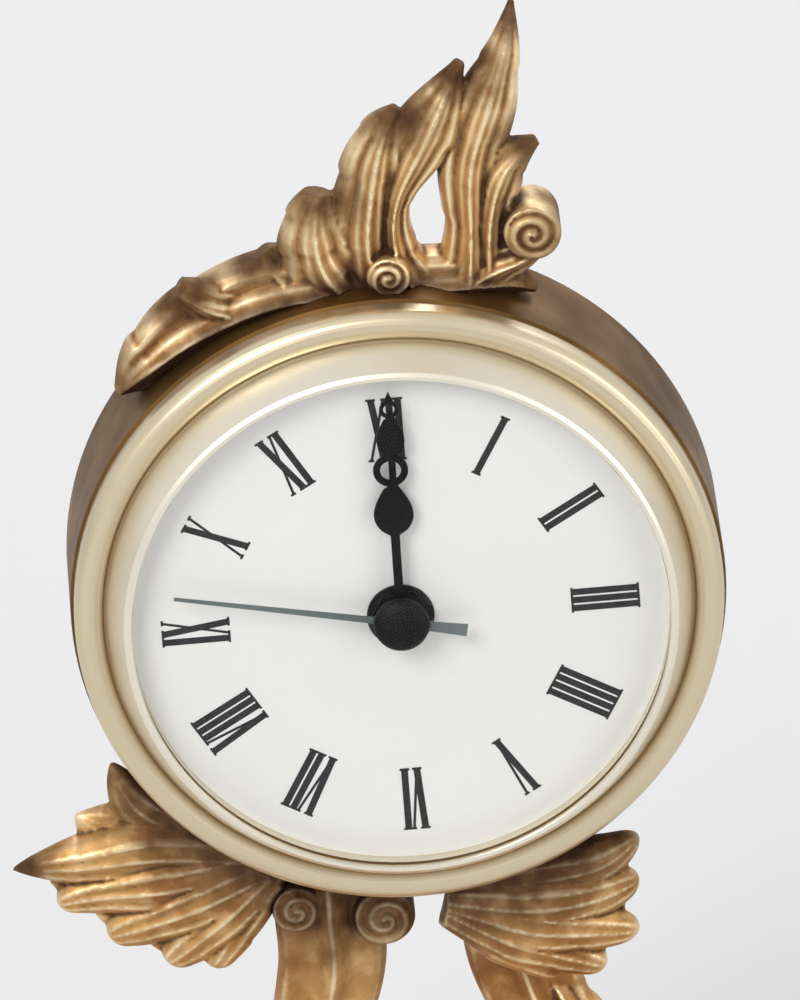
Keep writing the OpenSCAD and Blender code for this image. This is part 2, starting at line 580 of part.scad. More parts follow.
module centre_wheel() color(gear_plastic) at_dial() difference() {
    union() {
        wheel(level_centre, 64, third_module, centre_phase);
        pinion(level_minute - 0.1, level_centre + 0.1, 14, cannon_module, 0);
        rod(minute_y - 0.05, level_centre + wheel_t + 0.2, tube_r);
    }
    rod(minute_y - 1, level_centre + 2, arbor_r + fit);
}
module minute_wheel() color(gear_plastic) at_dial() on_axis(minute_at) {
    rod(inner_y - 0.7, level_hour + 0.1, pivot_r, $fn = 32);
    pinion(level_hour - 0.1, level_minute + 0.1, 10, hour_module, 0);
    wheel(level_minute, 42, cannon_module, minute_phase);
    rod(level_minute, case_back + 3.4, minute_arbor_r, $fn = 32);
}
module hour_wheel() color(gear_plastic) at_dial() difference() {
    union() {
        wheel(level_hour, 40, hour_module, hour_phase);
        rod(hour_y - 0.05, level_hour + wheel_t + 0.2, hour_tube_r);
    }
    rod(hour_y - 1, level_hour + 2, tube_r + fit);
}
module setting_knob() color(case_plastic) at_dial() on_axis(minute_at) difference() {
    drawn(case_back + 1.4, case_back + 4) polygon([for (a = [0:3:357]) polar(knob_r - 0.3 + 0.25*cos(24*a), a)]);
    rod(case_back, case_back + 3.4, minute_arbor_r, $fn = 32);
}

// Rear door on its hinge
module on_hinge() translate([hinge_x, hinge_y, dial_height]) children();
module door_turn() on_hinge() rotate([0, 0, door_open]) translate([-hinge_x, -hinge_y, 0]) children();
module rear_door() color(gilt_dark) door_turn() {
    difference() {
        union() {
            turned([[0, back_y - 0.9], [door_hole_r - 0.2, back_y - 0.9], [door_hole_r - 0.2, back_y + 0.1],
                    [door_r - 0.4, back_y + 0.1], [door_r, back_y + 0.5], [door_r, back_y + 0.9],
                    [door_r - 0.8, back_y + 1.3], [door_r - 4, back_y + 1.3], [door_r - 5, back_y + 0.9],
                    [0, back_y + 0.9]]);
            block(hinge_x, hinge_x + 6.5, back_y + 1.1, back_y + 2.1, -knuckle_half + 0.1, knuckle_half - 0.1);
            translate([hinge_x, hinge_y, -knuckle_half + 0.1])
                cylinder(h = 2*knuckle_half - 0.2, r = barrel_r, $fn = 32);
        }
        translate([hinge_x, hinge_y, -knuckle_half - 1]) cylinder(h = 2*knuckle_half + 2, r = 0.66, $fn = 32);
        rod(back_y - 3, back_y + 3, 1, [door_knob_x, 0], $fn = 32);
    }
}
module door_knob() color(brass) door_turn() on_axis([door_knob_x, 0]) turned([
    [0, back_y - 0.9], [1, back_y - 0.9], [1, back_y + 0.9], [2.6, back_y + 0.9], [2.6, back_y + 1.5],
    [1.3, back_y + 2.2], [1.3, back_y + 3], [2.6, back_y + 4], [2.9, back_y + 5], [2.4, back_y + 5.9],
    [0, back_y + 6.2]
]);
module hinge_bracket() color(brass) at_dial() difference() {
    union() {
        block(hinge_x - 4.7, hinge_x, back_y, back_y + 0.8, -hinge_half, hinge_half);
        for (s = [-1, 1]) translate([0, 0, s*(hinge_half + knuckle_half)/2]) {
            half = (hinge_half - knuckle_half)/2;
            translate([hinge_x, hinge_y, -half]) cylinder(h = 2*half, r = barrel_r, $fn = 32);
            block(hinge_x - barrel_r, hinge_x, back_y + 0.5, hinge_y, -half, half);
        }
    }
    translate([hinge_x, hinge_y, -hinge_half - 1]) cylinder(h = 2*hinge_half + 2, r = 0.61, $fn = 32);
    for (s = [-1, 1]) rod(back_y - 1, back_y + 2, 0.8, [hinge_x - 2.8, s*6.5], $fn = 24);
}
module hinge_pin() color(steel) on_hinge() {
    translate([0, 0, -hinge_half - 0.3]) cylinder(h = 2*hinge_half + 0.6, r = 0.6, $fn = 32);
    translate([0, 0, hinge_half + 0.05]) cylinder(h = 0.6, r = 1, $fn = 32);
}
module hinge_screws() color(steel) at_dial() for (s = [-1, 1]) {
    rod(back_y - flange - 0.5, back_y + 0.8, 0.7, [hinge_x - 2.8, s*6.5], $fn = 24);
    rod(back_y + 0.8, back_y + 1.4, 1.2, [hinge_x - 2.8, s*6.5], $fn = 24);
}

// Castings round the drum
module crest() color(gilt) at_dial() difference() {
    cast(crest_w) {
        for (points = crest_lobes) lobe(points);
        for (c = crest_curls) curl(c);
    }
    drum_solid();
    radial_screws(crest_screw_places, 0.05);
}
module crest_screws() color(steel) at_dial() radial_screws(crest_screw_places, 0);
module leaf_left() color(gilt) at_dial() difference() {
    cast(leaf_left_w) for (points = leaf_left_lobes) lobe(points, sides = 8);
    drum_solid();
    leg_form(-1);
    radial_screws(leaf_screw_places, 0.05);
}
module leaf_right() color(gilt) at_dial() difference() {
    cast(leaf_right_w) for (points = leaf_right_lobes) lobe(points);
    drum_solid();
    leg_form(1);
    radial_screws(leaf_screw_places, 0.05);
}
module leaf_screws() color(steel) at_dial() radial_screws(leaf_screw_places, 0);

// Legs: side is -1 for the left one and 1 for the right one
function stretched(p) = [for (i = [0:len(p) - 1]) i == 1 ? p[i]*leg_drop/152 : p[i]];
// and the left one has one scroll more, inside at the top
module leg_form(side) translate([side*leg_x, 0, 0]) mirror([side < 0 ? 1 : 0, 0, 0])
    cast(side < 0 ? leg_left_w : leg_right_w) {
        lobe([for (p = leg_lobes[0]) stretched(p)], 2, 0.4, 12, 12);
        for (i = [1, 2]) lobe([for (p = leg_lobes[i]) stretched(p)]);
        for (i = [0:side < 0 ? 2 : 1]) curl(stretched(leg_curls[i]));
    }
module leg(side) difference() {
    at_dial() leg_form(side);
    at_dial() drum_solid();
    translate([-100, -50, plinth_top - 50]) cube([200, 100, 50]);
    at_dial() radial_screws(leg_screw_places, 0.05);
    translate([side*leg_foot_x, 0, 0]) cylinder(h = plinth_top + 6.2, r = 1.6, $fn = 24);
}
module leg_left() color(gilt) leg(-1);
module leg_right() color(gilt) leg(1);
module leg_top_screws() color(steel) at_dial() radial_screws(leg_screw_places, 0);
module up_screw(at, z0, z1) translate([at[0], at[1], z0]) {
    cylinder(h = z1 - z0, r = 1.5, $fn = 24);
    cylinder(h = 2, r = 3, $fn = 32);
}
module leg_foot_screws() color(steel) for (s = [-1, 1]) up_screw([s*leg_foot_x, 0], foot_h + 0.5, plinth_top + 6);

// Plinth: a wavy outline with a moulded edge
function plinth_ring(inset, z) = [for (k = [0:47]) let (
        a = 7.5*k,
        wave = 1 - 0.045*(1 - cos(8*a))/2,
        c = cos(a),
        s = sin(a)
    ) [
        sign(c)*pow(abs(c), 0.72)*(plinth_w/2 - inset)*wave,
        sign(s)*pow(abs(s), 0.72)*(plinth_d/2 - inset)*wave,
        z
    ]];
module plinth() color(gilt) difference() {
    step = plinth_h/12;
    loft([for (row = [[3.4, 0], [0.9, 0.6], [0, 2.2], [0.5, 4], [3, 5.2], [5, 8.6], [8, 9.4], [10, 12]])
        plinth_ring(row[0], foot_h + row[1]*step)]);
    for (s = [-1, 1]) translate([s*leg_foot_x, 0, foot_h - 1]) {
        cylinder(h = plinth_h + 2, r = 1.6, $fn = 24);
        cylinder(h = 3.55, r = 3.2, $fn = 32);
    }
    translate([0, 0, foot_h - 1]) {
        cylinder(h = plinth_h + 2, r = 1.6, $fn = 24);
        cylinder(h = 3.55, r = 3.2, $fn = 32);
    }
    for (p = foot_places) translate([p[0], p[1], foot_h - 1]) cylinder(h = 6, r = 1.3, $fn = 24);
}

// Feet: a scroll with a leaf, turned to its own corner
foot_lobe = [
    [-8, 11.5, 4, 6.5, 0], [-2, 10, 4.5, 7.5, 0], [4, 7, 4.5, 7, 0], [6.5, 2.5, 3.6, 6, 0], [4, -1, 3, 5, 0]
];
foot_core = [[-1, 12, 6, 6.5, 0], [0, 6, 5, 6, 0], [0, 0, 5, 5.5, 0]];
module foot(i) color(gilt) translate([foot_places[i][0], foot_places[i][1], 0])
    rotate([0, 0, atan2(foot_places[i][1], foot_places[i][0])]) difference() {
        intersection() {
            cast(foot_w) {
                lobe(foot_lobe);
                lobe(foot_core, 1, 0, 3);
            }
            translate([-20, -20, felt_t]) cube([40, 40, foot_h - felt_t]);
        }
        translate([0, 0, foot_h - 6]) cylinder(h = 7, r = 1.3, $fn = 24);
    }
module foot_front_left() foot(0);
module foot_front_right() foot(1);
module foot_back_left() foot(2);
module foot_back_right() foot(3);
module foot_screws() color(steel) for (p = foot_places)
    translate([p[0], p[1], foot_h - 5.5]) cylinder(h = 10, r = 1.25, $fn = 24);
module felt_pads() color(felt)
    for (p = foot_places) translate([p[0], p[1], 0]) cylinder(h = felt_t, r = 5, $fn = 32);

// Seated child on a rocaille mound, sized by its head of 10 mm
module mound() {
    rings = [[19, 0], [19.4, 2], [16.4, 5.5], [13, 9], [9, 12], [4, 13.2]];
    loft([for (row = rings) [for (k = [0:23]) let (
            a = 15*k,
            r = row[0]*(1 + 0.07*cos(5*a + 20*row[1]))
        ) [r*cos(a), r*sin(a)*0.8, row[1]]]]);
}
module child_body() {
    trunk([[0, 1.6, 11.5, 3.6, 3], [0, 1.4, 14, 5.6, 4.8], [0, 0.6, 18, 5, 4.6], [0, 0.4, 22, 4.9, 4],
           [0, 0.5, 26, 5.4, 3.7], [0, 0.7, 28.6, 4.6, 3.1], [0, 0.6, 30, 2.2, 2.1], [0, 0.3, 32.4, 1.9, 1.9]]);
}
module child_head() translate([0, -0.2, 36.2]) rotate([6, 0, -8]) {
    trunk([[0, -0.6, -5, 1, 1], [0, -0.9, -4.3, 2.6, 2.6], [0, -0.5, -2.4, 3.9, 3.9], [0, 0, 0, 4.3, 4.4],
           [0, 0.3, 2.2, 4.3, 4.5], [0, 0.5, 4, 3.2, 3.5], [0, 0.5, 5, 0.8, 0.9]], rows = 7, sides = 12);
    bead(0, -4.4, -0.9, 0.9);
    for (s = [-1, 1]) bead(s*2, -2.9, -1.9, 1.6);
    for (i = [0:6]) let (a = 200 - 36.7*i) bead(3.5*cos(a), 0.9 - 1.4*abs(sin(a)), 1.2 + 3.4*sin(a), 1.9);
    bead(0, 2.6, 1.2, 3.4);
}
module child_limbs() {
    limb([[-4.2, 0.4, 28, 2], [-7, 0, 28.6, 1.9], [-10, -0.8, 31, 1.7], [-10.8, -1.4, 34.5, 1.5],
          [-10.4, -2.2, 38, 1], [-10.2, -2.6, 39.5, 1.2], [-9.6, -3, 42, 0.4]]);
    limb([[4.2, 0.4, 28, 2], [7, 0.8, 26, 1.9], [8.6, 1, 22.5, 1.7], [7.8, -2, 20.4, 1.5],
          [6.6, -4.6, 19.4, 1], [6.2, -6, 19.2, 1.2], [5.6, -7.6, 18.6, 0.4]]);
    limb([[-2.6, 1, 14.5, 3], [-3.6, -4, 16, 3.1], [-5, -9.2, 16, 2.4], [-5.2, -10.4, 12.6, 2.2],
          [-4.8, -10.2, 9, 1.4], [-4.8, -11.6, 7.4, 1.5], [-5, -14.4, 6.8, 0.5]]);
    limb([[2.6, 1, 14.5, 3], [4.2, -3.6, 15.6, 3.1], [6, -8.4, 15, 2.4], [5.4, -10.6, 12, 2.2],
          [3.8, -11.8, 8.8, 1.4], [3.2, -13.2, 7.2, 1.5], [2.4, -15.8, 6.4, 0.5]]);
}
module child_wings() for (s = [-1, 1]) translate([0, 4.4, 0]) mirror([s < 0 ? 1 : 0, 0, 0]) {
    lobe([[0.5, 25, 1.6, 1.4, -0.6], [4, 29, 2.4, 1.3, 0], [8.4, 31.5, 2.2, 1, 0.6], [12, 30, 0.5, 0.5, 1]],
        rows = 4);
    lobe([[0.5, 23, 1.8, 1.4, -0.6], [4, 25.5, 2.4, 1.2, 0], [7.4, 26.4, 1.8, 0.9, 0.6], [10, 24.5, 0.5, 0.5, 1]],
        rows = 4);
}
module child_sash() limb([[-5.2, 2.5, 17, 1], [-5.6, -2, 18.4, 1.4], [-1.5, -4.4, 18, 1.5], [3, -3.6, 18.6, 1.5],
        [5.6, 0.5, 19, 1.3], [6.2, 3.5, 15, 1.4], [6.6, 5, 11, 0.9]], rows = 9);
module figure() color(gilt) translate([0, 0, plinth_top]) difference() {
    scale(figure_scale) {
        mound();
        child_body();
        child_head();
        child_limbs();
        child_wings();
        child_sash();
    }
    translate([0, 0, -1]) cylinder(h = 9, r = 1.6, $fn = 24);
}
module figure_screw() color(steel) up_screw([0, 0], foot_h + 0.5, plinth_top + 6);

drum_case();
bezel();
glass();
glass_ring();
bezel_screws();
dial();
spacer_ring();
hour_hand();
minute_hand();
second_hand();
hub_cap();
rubber_washer();
brass_washer();
fixing_nut();
threaded_bush();
movement_front_case();
movement_rear_case();
bridge_plate();
bridge_screws();
stator();
coil_core();
coil_bobbin();
coil_winding();
circuit_board();
quartz_crystal();
battery();
contact_positive();
contact_negative();
rotor();
step_wheel();
seconds_wheel();
third_wheel();
centre_wheel();
minute_wheel();
hour_wheel();
setting_knob();
rear_door();
door_knob();
hinge_bracket();
hinge_pin();
hinge_screws();
crest();
crest_screws();
leaf_left();
leaf_right();
leaf_screws();
leg_left();
leg_right();
leg_top_screws();
leg_foot_screws();
plinth();
foot_front_left();
foot_front_right();
foot_back_left();
foot_back_right();
foot_screws();
felt_pads();
figure();
figure_screw();
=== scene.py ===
import json
import math
import random
import bpy
import bmesh
import numpy as np
from mathutils import Matrix, Vector


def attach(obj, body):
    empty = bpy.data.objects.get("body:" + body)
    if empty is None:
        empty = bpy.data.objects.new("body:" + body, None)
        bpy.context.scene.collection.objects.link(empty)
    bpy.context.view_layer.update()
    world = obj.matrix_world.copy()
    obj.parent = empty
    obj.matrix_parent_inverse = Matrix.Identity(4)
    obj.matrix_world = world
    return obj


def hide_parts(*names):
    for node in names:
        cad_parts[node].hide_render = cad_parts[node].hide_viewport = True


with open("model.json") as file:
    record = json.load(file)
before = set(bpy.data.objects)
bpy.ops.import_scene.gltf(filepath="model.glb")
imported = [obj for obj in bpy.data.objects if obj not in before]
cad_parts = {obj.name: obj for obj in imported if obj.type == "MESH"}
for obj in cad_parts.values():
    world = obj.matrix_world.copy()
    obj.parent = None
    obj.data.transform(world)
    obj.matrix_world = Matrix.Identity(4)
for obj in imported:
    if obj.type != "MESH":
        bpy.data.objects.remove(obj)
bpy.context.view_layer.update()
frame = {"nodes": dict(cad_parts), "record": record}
nodes = frame["nodes"]
mm = 0.001
dialHeight = 176.0  # middle of the dial above the floor, mm
drumRadius = 54.5
plinthTop = 24.0
print("frame loaded:", len(nodes), "nodes")


def linear(hexColour):
    # sRGB hex to the linear values that Blender's sockets take
    values = []
    for i in (1, 3, 5):
        c = int(hexColour[i:i + 2], 16) / 255
        values.append(c / 12.92 if c <= 0.04045 else ((c + 0.055) / 1.055) ** 2.4)
    return (*values, 1.0)


def perMm(size):
    # texture scale for a feature of that size in mm, on object coordinates in metres
    return 1000.0 / size


def addNode(tree, kind, links=None, **settings):
    node = tree.nodes.new(kind)
    for key, value in settings.items():
        setattr(node, key, value)
    for socket, value in (links or {}).items():
        if isinstance(value, bpy.types.NodeSocket):
            tree.links.new(value, node.inputs[socket])
        else:
            node.inputs[socket].default_value = value
    return node


def catmull(a, b, c, d, t):
    return tuple(0.5 * (2 * q + (r - p) * t + (2 * p - 5 * q + 4 * r - s) * t * t + (3 * q - p - 3 * r + s) * t ** 3)
                 for p, q, r, s in zip(a, b, c, d))


def smoothPoints(points, count):
    last = len(points) - 1
    out = []
    for i in range(count + 1):
        s = min(i / count * last, last - 1e-4)
        k = int(s)
        out.append(catmull(points[max(k - 1, 0)], points[k], points[k + 1], points[min(k + 2, last)], s - k))
    return out


# The photograph's framing, from the scale and the angles worked out on the drum and the dial
camera = {"azimuth": -0.8, "elevation": 25.5, "roll": 4.5, "pixelsPerMm": 6.03,
          "middle": (0.0, -13.8, 176.0), "pixel": (399.5, 604.5), "size": (800, 1000),
          "distance": 3000.0, "sensor": 36.0, "clip": (0.1, 30)}


def makeCamera(c):
    a, e, ro = (math.radians(c[k]) for k in ("azimuth", "elevation", "roll"))
    back = Vector((math.sin(a) * math.cos(e), -math.cos(a) * math.cos(e), math.sin(e)))
    right = Vector((math.cos(a), math.sin(a), 0))
    up = back.cross(right)
    picX = math.cos(ro) * right - math.sin(ro) * up
    picY = math.sin(ro) * right + math.cos(ro) * up
    dx = (c["size"][0] / 2 - c["pixel"][0]) / c["pixelsPerMm"]
    dy = (c["pixel"][1] - c["size"][1] / 2) / c["pixelsPerMm"]
    aim = Vector(c["middle"]) + dx * picX + dy * picY
    data = bpy.data.cameras.new("camera")
    data.sensor_width = c["sensor"]
    data.lens = c["sensor"] * c["distance"] / (max(c["size"]) / c["pixelsPerMm"])
    data.clip_start, data.clip_end = c["clip"]
    piece = bpy.data.objects.new("camera", data)
    bpy.context.scene.collection.objects.link(piece)
    turn = Matrix((picX, picY, back)).transposed().to_4x4()
    piece.matrix_world = Matrix.Translation((aim + c["distance"] * back) * mm) @ turn
    bpy.context.scene.camera = piece


makeCamera(camera)
print("camera set")

# A pale floor, three soft boxes and a pale surround
studio = {"floor": "#f5f5f6", "surround": "#eeeeef", "surroundLight": 0.53, "floorSize": 4.0,
          "mottle": 300, "mottleTone": 0.98, "aim": (0, 0, 0.14),
          "boxes": [
              # place in m, size in m, watts
              ("keyBox", (-0.9, -1.3, 1.5), (0.9, 0.9), 19),
              ("fillBox", (1.3, -1.0, 0.6), (0.8, 1.2), 5),
              ("rimBox", (0.3, 1.2, 1.1), (1.2, 0.6), 7)]}


def makeStudio(s):
    world = bpy.data.worlds.new("surround")
    bpy.context.scene.world = world
    world.use_nodes = True
    tree = world.node_tree
    tree.nodes.clear()
    path = addNode(tree, "ShaderNodeLightPath")
    direct = addNode(tree, "ShaderNodeMath", {0: path.outputs["Is Camera Ray"], 1: path.outputs["Is Glossy Ray"]},
                     operation="MAXIMUM")
    shown = addNode(tree, "ShaderNodeMath", {0: direct.outputs[0], 1: path.outputs["Is Transmission Ray"]},
                    operation="MAXIMUM")
    lit = addNode(tree, "ShaderNodeBackground", {"Color": linear(s["surround"]), "Strength": s["surroundLight"]})
    seen = addNode(tree, "ShaderNodeBackground", {"Color": linear(s["surround"]), "Strength": 1.0})
    mix = addNode(tree, "ShaderNodeMixShader", {0: shown.outputs[0], 1: lit.outputs[0], 2: seen.outputs[0]})
    addNode(tree, "ShaderNodeOutputWorld", {0: mix.outputs[0]})
    for name, place, size, watts in s["boxes"]:
        data = bpy.data.lights.new(name, "AREA")
        data.shape, (data.size, data.size_y) = "RECTANGLE", size
        data.energy = watts
        box = bpy.data.objects.new(name, data)
        box.location = place
        box.rotation_euler = (Vector(s["aim"]) - Vector(place)).to_track_quat("-Z", "Y").to_euler()
        bpy.context.scene.collection.objects.link(box)
    mesh = bpy.data.meshes.new("floor")
    bm = bmesh.new()
    bmesh.ops.create_grid(bm, x_segments=2, y_segments=2, size=s["floorSize"])
    bm.to_mesh(mesh)
    bm.free()
    floor = bpy.data.objects.new("floor", mesh)
    bpy.context.scene.collection.objects.link(floor)
    material, tree = startMaterial("paleTable")
    coords = addNode(tree, "ShaderNodeTexCoord").outputs["Object"]
    mottle = addNode(tree, "ShaderNodeTexNoise", {"Vector": coords, "Scale": perMm(s["mottle"])})
    tone = addNode(tree, "ShaderNodeMapRange", {"Value": mottle.outputs["Fac"], "To Min": s["mottleTone"]})
    colour = addNode(tree, "ShaderNodeMix", {0: 1.0, 6: linear(s["floor"]), 7: tone.outputs[0]},
                     data_type="RGBA", blend_type="MULTIPLY")
    endMaterial(tree, addNode(tree, "ShaderNodeBsdfPrincipled", {"Base Color": colour.outputs[2], "Roughness": 0.8}))
    mesh.materials.append(material)


def startMaterial(name):
    material = bpy.data.materials.new(name)
    material.use_nodes = True
    material.node_tree.nodes.clear()
    return material, material.node_tree


def endMaterial(tree, shader):
    addNode(tree, "ShaderNodeOutputMaterial", {0: shader.outputs[0]})


noiseSpan = {"From Min": 0.3, "From Max": 0.7}  # where nearly all of a noise's values lie


makeStudio(studio)
print("studio set")

# Antique gilding on cast zinc: a matt sand-cast skin, brown patina in the hollows and painted shade by the drum and at
# tips, gold rubbed bright on the ridges with a painted highlight
castGiltLook = {
    "ridge": "#f4dcb0", "gold": "#cda064", "rust": "#a87743", "patinaAndShadeBrown": "#41230a",
    "mottle": 4.5, "grain": 0.4, "hollowDepth": 4.5, "dentDepth": 0.3, "grainDepth": 0.06,  # mm
    "open": (0.24, 0.72),  # openness of a hollow, from all patina to clean
    "stains": (0.42, 0.6),  # noise, from rust to gold
    "patinaAndShadeWeight": -0.8, "wearAndHighlightSpots": 1.4, "dirtSpots": 0.9,
    "dirtyRoughness": 0.75, "plainRoughness": 0.52, "rubbedRoughness": 0.34,
    # the dark end carries patina and painted shade
    "metallic": (0.35, 0.9),  # from patina to bare
}


def makeCastGilt(look):
    material, tree = startMaterial("antiqueGiltCasting")
    coords = addNode(tree, "ShaderNodeTexCoord").outputs["Object"]
    # one attribute is rubbed gilding with a painted highlight; the other is patina in creases with painted shade by the
    # drum and at tips
    edge = addNode(tree, "ShaderNodeAttribute", attribute_name="wearAndHighlight").outputs["Fac"]
    crease = addNode(tree, "ShaderNodeAttribute", attribute_name="patinaAndPaintedShade").outputs["Fac"]
    mottle = addNode(tree, "ShaderNodeTexNoise", {"Vector": coords, "Scale": perMm(look["mottle"]), "Detail": 5.0})
    stain = addNode(tree, "ShaderNodeTexNoise", {"Vector": coords, "Scale": perMm(look["mottle"] * 3), "Detail": 3.0})
    grain = addNode(tree, "ShaderNodeTexNoise", {"Vector": coords, "Scale": perMm(look["grain"]), "Detail": 3.0})
    hollow = addNode(tree, "ShaderNodeAmbientOcclusion", {"Distance": look["hollowDepth"] * mm}, samples=8)
    clear = addNode(tree, "ShaderNodeMapRange", {
        "Value": hollow.outputs["AO"], "From Min": look["open"][0], "From Max": look["open"][1]})
    openness = addNode(tree, "ShaderNodeMath", {0: crease, 1: look["patinaAndShadeWeight"], 2: clear.outputs[0]},
                       operation="MULTIPLY_ADD")
    rough = addNode(tree, "ShaderNodeMath", {0: mottle.outputs["Fac"], 1: -0.5}, operation="ADD")
    # rubbed gilding with a painted highlight, on the ridges and in light spots
    wornAndHighlit = addNode(tree, "ShaderNodeMath", {0: rough.outputs[0], 1: look["wearAndHighlightSpots"], 2: edge},
                   operation="MULTIPLY_ADD", use_clamp=True)
    stained = addNode(tree, "ShaderNodeMapRange", {
        "Value": stain.outputs["Fac"], "From Min": look["stains"][0], "From Max": look["stains"][1]})
    base = addNode(tree, "ShaderNodeMix", {0: stained.outputs[0], 6: linear(look["rust"]), 7: linear(look["gold"])},
                   data_type="RGBA")
    gold = addNode(tree, "ShaderNodeMix", {0: wornAndHighlit.outputs[0], 6: base.outputs[2], 7: linear(look["ridge"])},
                   data_type="RGBA")
    bareAndUnshaded = addNode(tree, "ShaderNodeMath", {0: rough.outputs[0], 1: look["dirtSpots"], 2: openness.outputs[0]},
                   operation="MULTIPLY_ADD", use_clamp=True)
    colour = addNode(tree, "ShaderNodeMix", {0: bareAndUnshaded.outputs[0], 6: linear(look["patinaAndShadeBrown"]), 7: gold.outputs[2]},
                     data_type="RGBA")
    polish = addNode(tree, "ShaderNodeMapRange", {
        "Value": wornAndHighlit.outputs[0], "To Min": look["plainRoughness"], "To Max": look["rubbedRoughness"]})
    dull = addNode(tree, "ShaderNodeMix", {0: bareAndUnshaded.outputs[0], 2: look["dirtyRoughness"], 3: polish.outputs[0]})
    metal = addNode(tree, "ShaderNodeMapRange", {
        "Value": bareAndUnshaded.outputs[0], "To Min": look["metallic"][0], "To Max": look["metallic"][1]})
    dents = addNode(tree, "ShaderNodeBump", {
        "Height": mottle.outputs["Fac"], "Distance": look["dentDepth"] * mm, "Strength": 0.6})
    skin = addNode(tree, "ShaderNodeBump", {
        "Height": grain.outputs["Fac"], "Distance": look["grainDepth"] * mm, "Strength": 0.6,
        "Normal": dents.outputs[0]})
    endMaterial(tree, addNode(tree, "ShaderNodeBsdfPrincipled", {
        "Base Color": colour.outputs[2], "Metallic": metal.outputs[0], "Roughness": dull.outputs[0],
        "Normal": skin.outputs[0]}))
    return material


def cloudsOver(tree, coords, size, detail, dark, light, roughest, smoothest):
    # a surface's tone and roughness change in clouds so many mm wide
    cloud = addNode(tree, "ShaderNodeTexNoise", {"Vector": coords, "Scale": perMm(size), "Detail": detail})
    tone = addNode(tree, "ShaderNodeMapRange", {"Value": cloud.outputs["Fac"], **noiseSpan})
    colour = addNode(tree, "ShaderNodeMix", {0: tone.outputs[0], 6: linear(dark), 7: linear(light)}, data_type="RGBA")
    rough = addNode(tree, "ShaderNodeMapRange", {
        "Value": cloud.outputs["Fac"], **noiseSpan, "To Min": roughest, "To Max": smoothest})
    return colour.outputs[2], rough.outputs[0]


def makeTurned(name, light, dark, roughness, lines, lineDepth, metallic=1.0, mottle=9.0, marksSize=0.8,
               marksDepth=0.01, stretch=60):
    # metal that was turned or rolled round the dial's axis: fine lines along its depth and handling marks
    material, tree = startMaterial(name)
    coords = addNode(tree, "ShaderNodeTexCoord").outputs["Object"]
    squeezed = addNode(tree, "ShaderNodeMapping", {"Vector": coords, "Scale": (1, stretch, 1)})
    turning = addNode(tree, "ShaderNodeTexNoise", {
        "Vector": squeezed.outputs[0], "Scale": perMm(stretch * lines), "Detail": 2.0})
    marks = addNode(tree, "ShaderNodeTexNoise", {"Vector": coords, "Scale": perMm(marksSize), "Detail": 2.0})
    colour, rough = cloudsOver(tree, coords, mottle, 5.0, dark, light, roughness + 0.08, roughness - 0.05)
    cut = addNode(tree, "ShaderNodeBump", {
        "Height": turning.outputs["Fac"], "Distance": lineDepth * mm, "Strength": 0.6})
    handled = addNode(tree, "ShaderNodeBump", {
        "Height": marks.outputs["Fac"], "Distance": marksDepth * mm, "Strength": 0.4, "Normal": cut.outputs[0]})
    endMaterial(tree, addNode(tree, "ShaderNodeBsdfPrincipled", {
        "Base Color": colour, "Metallic": metallic, "Roughness": rough, "Normal": handled.outputs[0]}))
    return material


def makeCoated(name, light, dark, roughness, grain, grainDepth, metallic=0.0, sheen=0.0, coat=0.0, gloss=0.5,
               clouds=25):
    # moulded, sprayed or felted surface with its own grain and gloss, and clouds so many grains wide
    material, tree = startMaterial(name)
    coords = addNode(tree, "ShaderNodeTexCoord").outputs["Object"]
    skin = addNode(tree, "ShaderNodeTexNoise", {"Vector": coords, "Scale": perMm(grain), "Detail": 3.0})
    colour, rough = cloudsOver(tree, coords, grain * clouds, 4.0, dark, light, roughness + 0.06, roughness - 0.04)
    bump = addNode(tree, "ShaderNodeBump", {
        "Height": skin.outputs["Fac"], "Distance": grainDepth * mm, "Strength": 0.6})
    endMaterial(tree, addNode(tree, "ShaderNodeBsdfPrincipled", {
        "Base Color": colour, "Metallic": metallic, "Roughness": rough, "Normal": bump.outputs[0],
        "Sheen Weight": sheen, "Coat Weight": coat, "Specular IOR Level": gloss}))
    return material


# Lacquered pale brass, turned and polished: warm on the outer bead, nearly cream on the slope, with painted shade in
# the groove
bezelLook = {"bead": "#d9caab", "slope": "#ece5d3", "groove": "#b5a07a", "slopeRadius": 49.5,
             "lines": 0.35, "lineDepth": 0.012, "clouds": 14, "grooveDepth": 2.5, "open": (0.25, 0.75),
             "roughness": (0.4, 0.28), "metallic": 0.9}


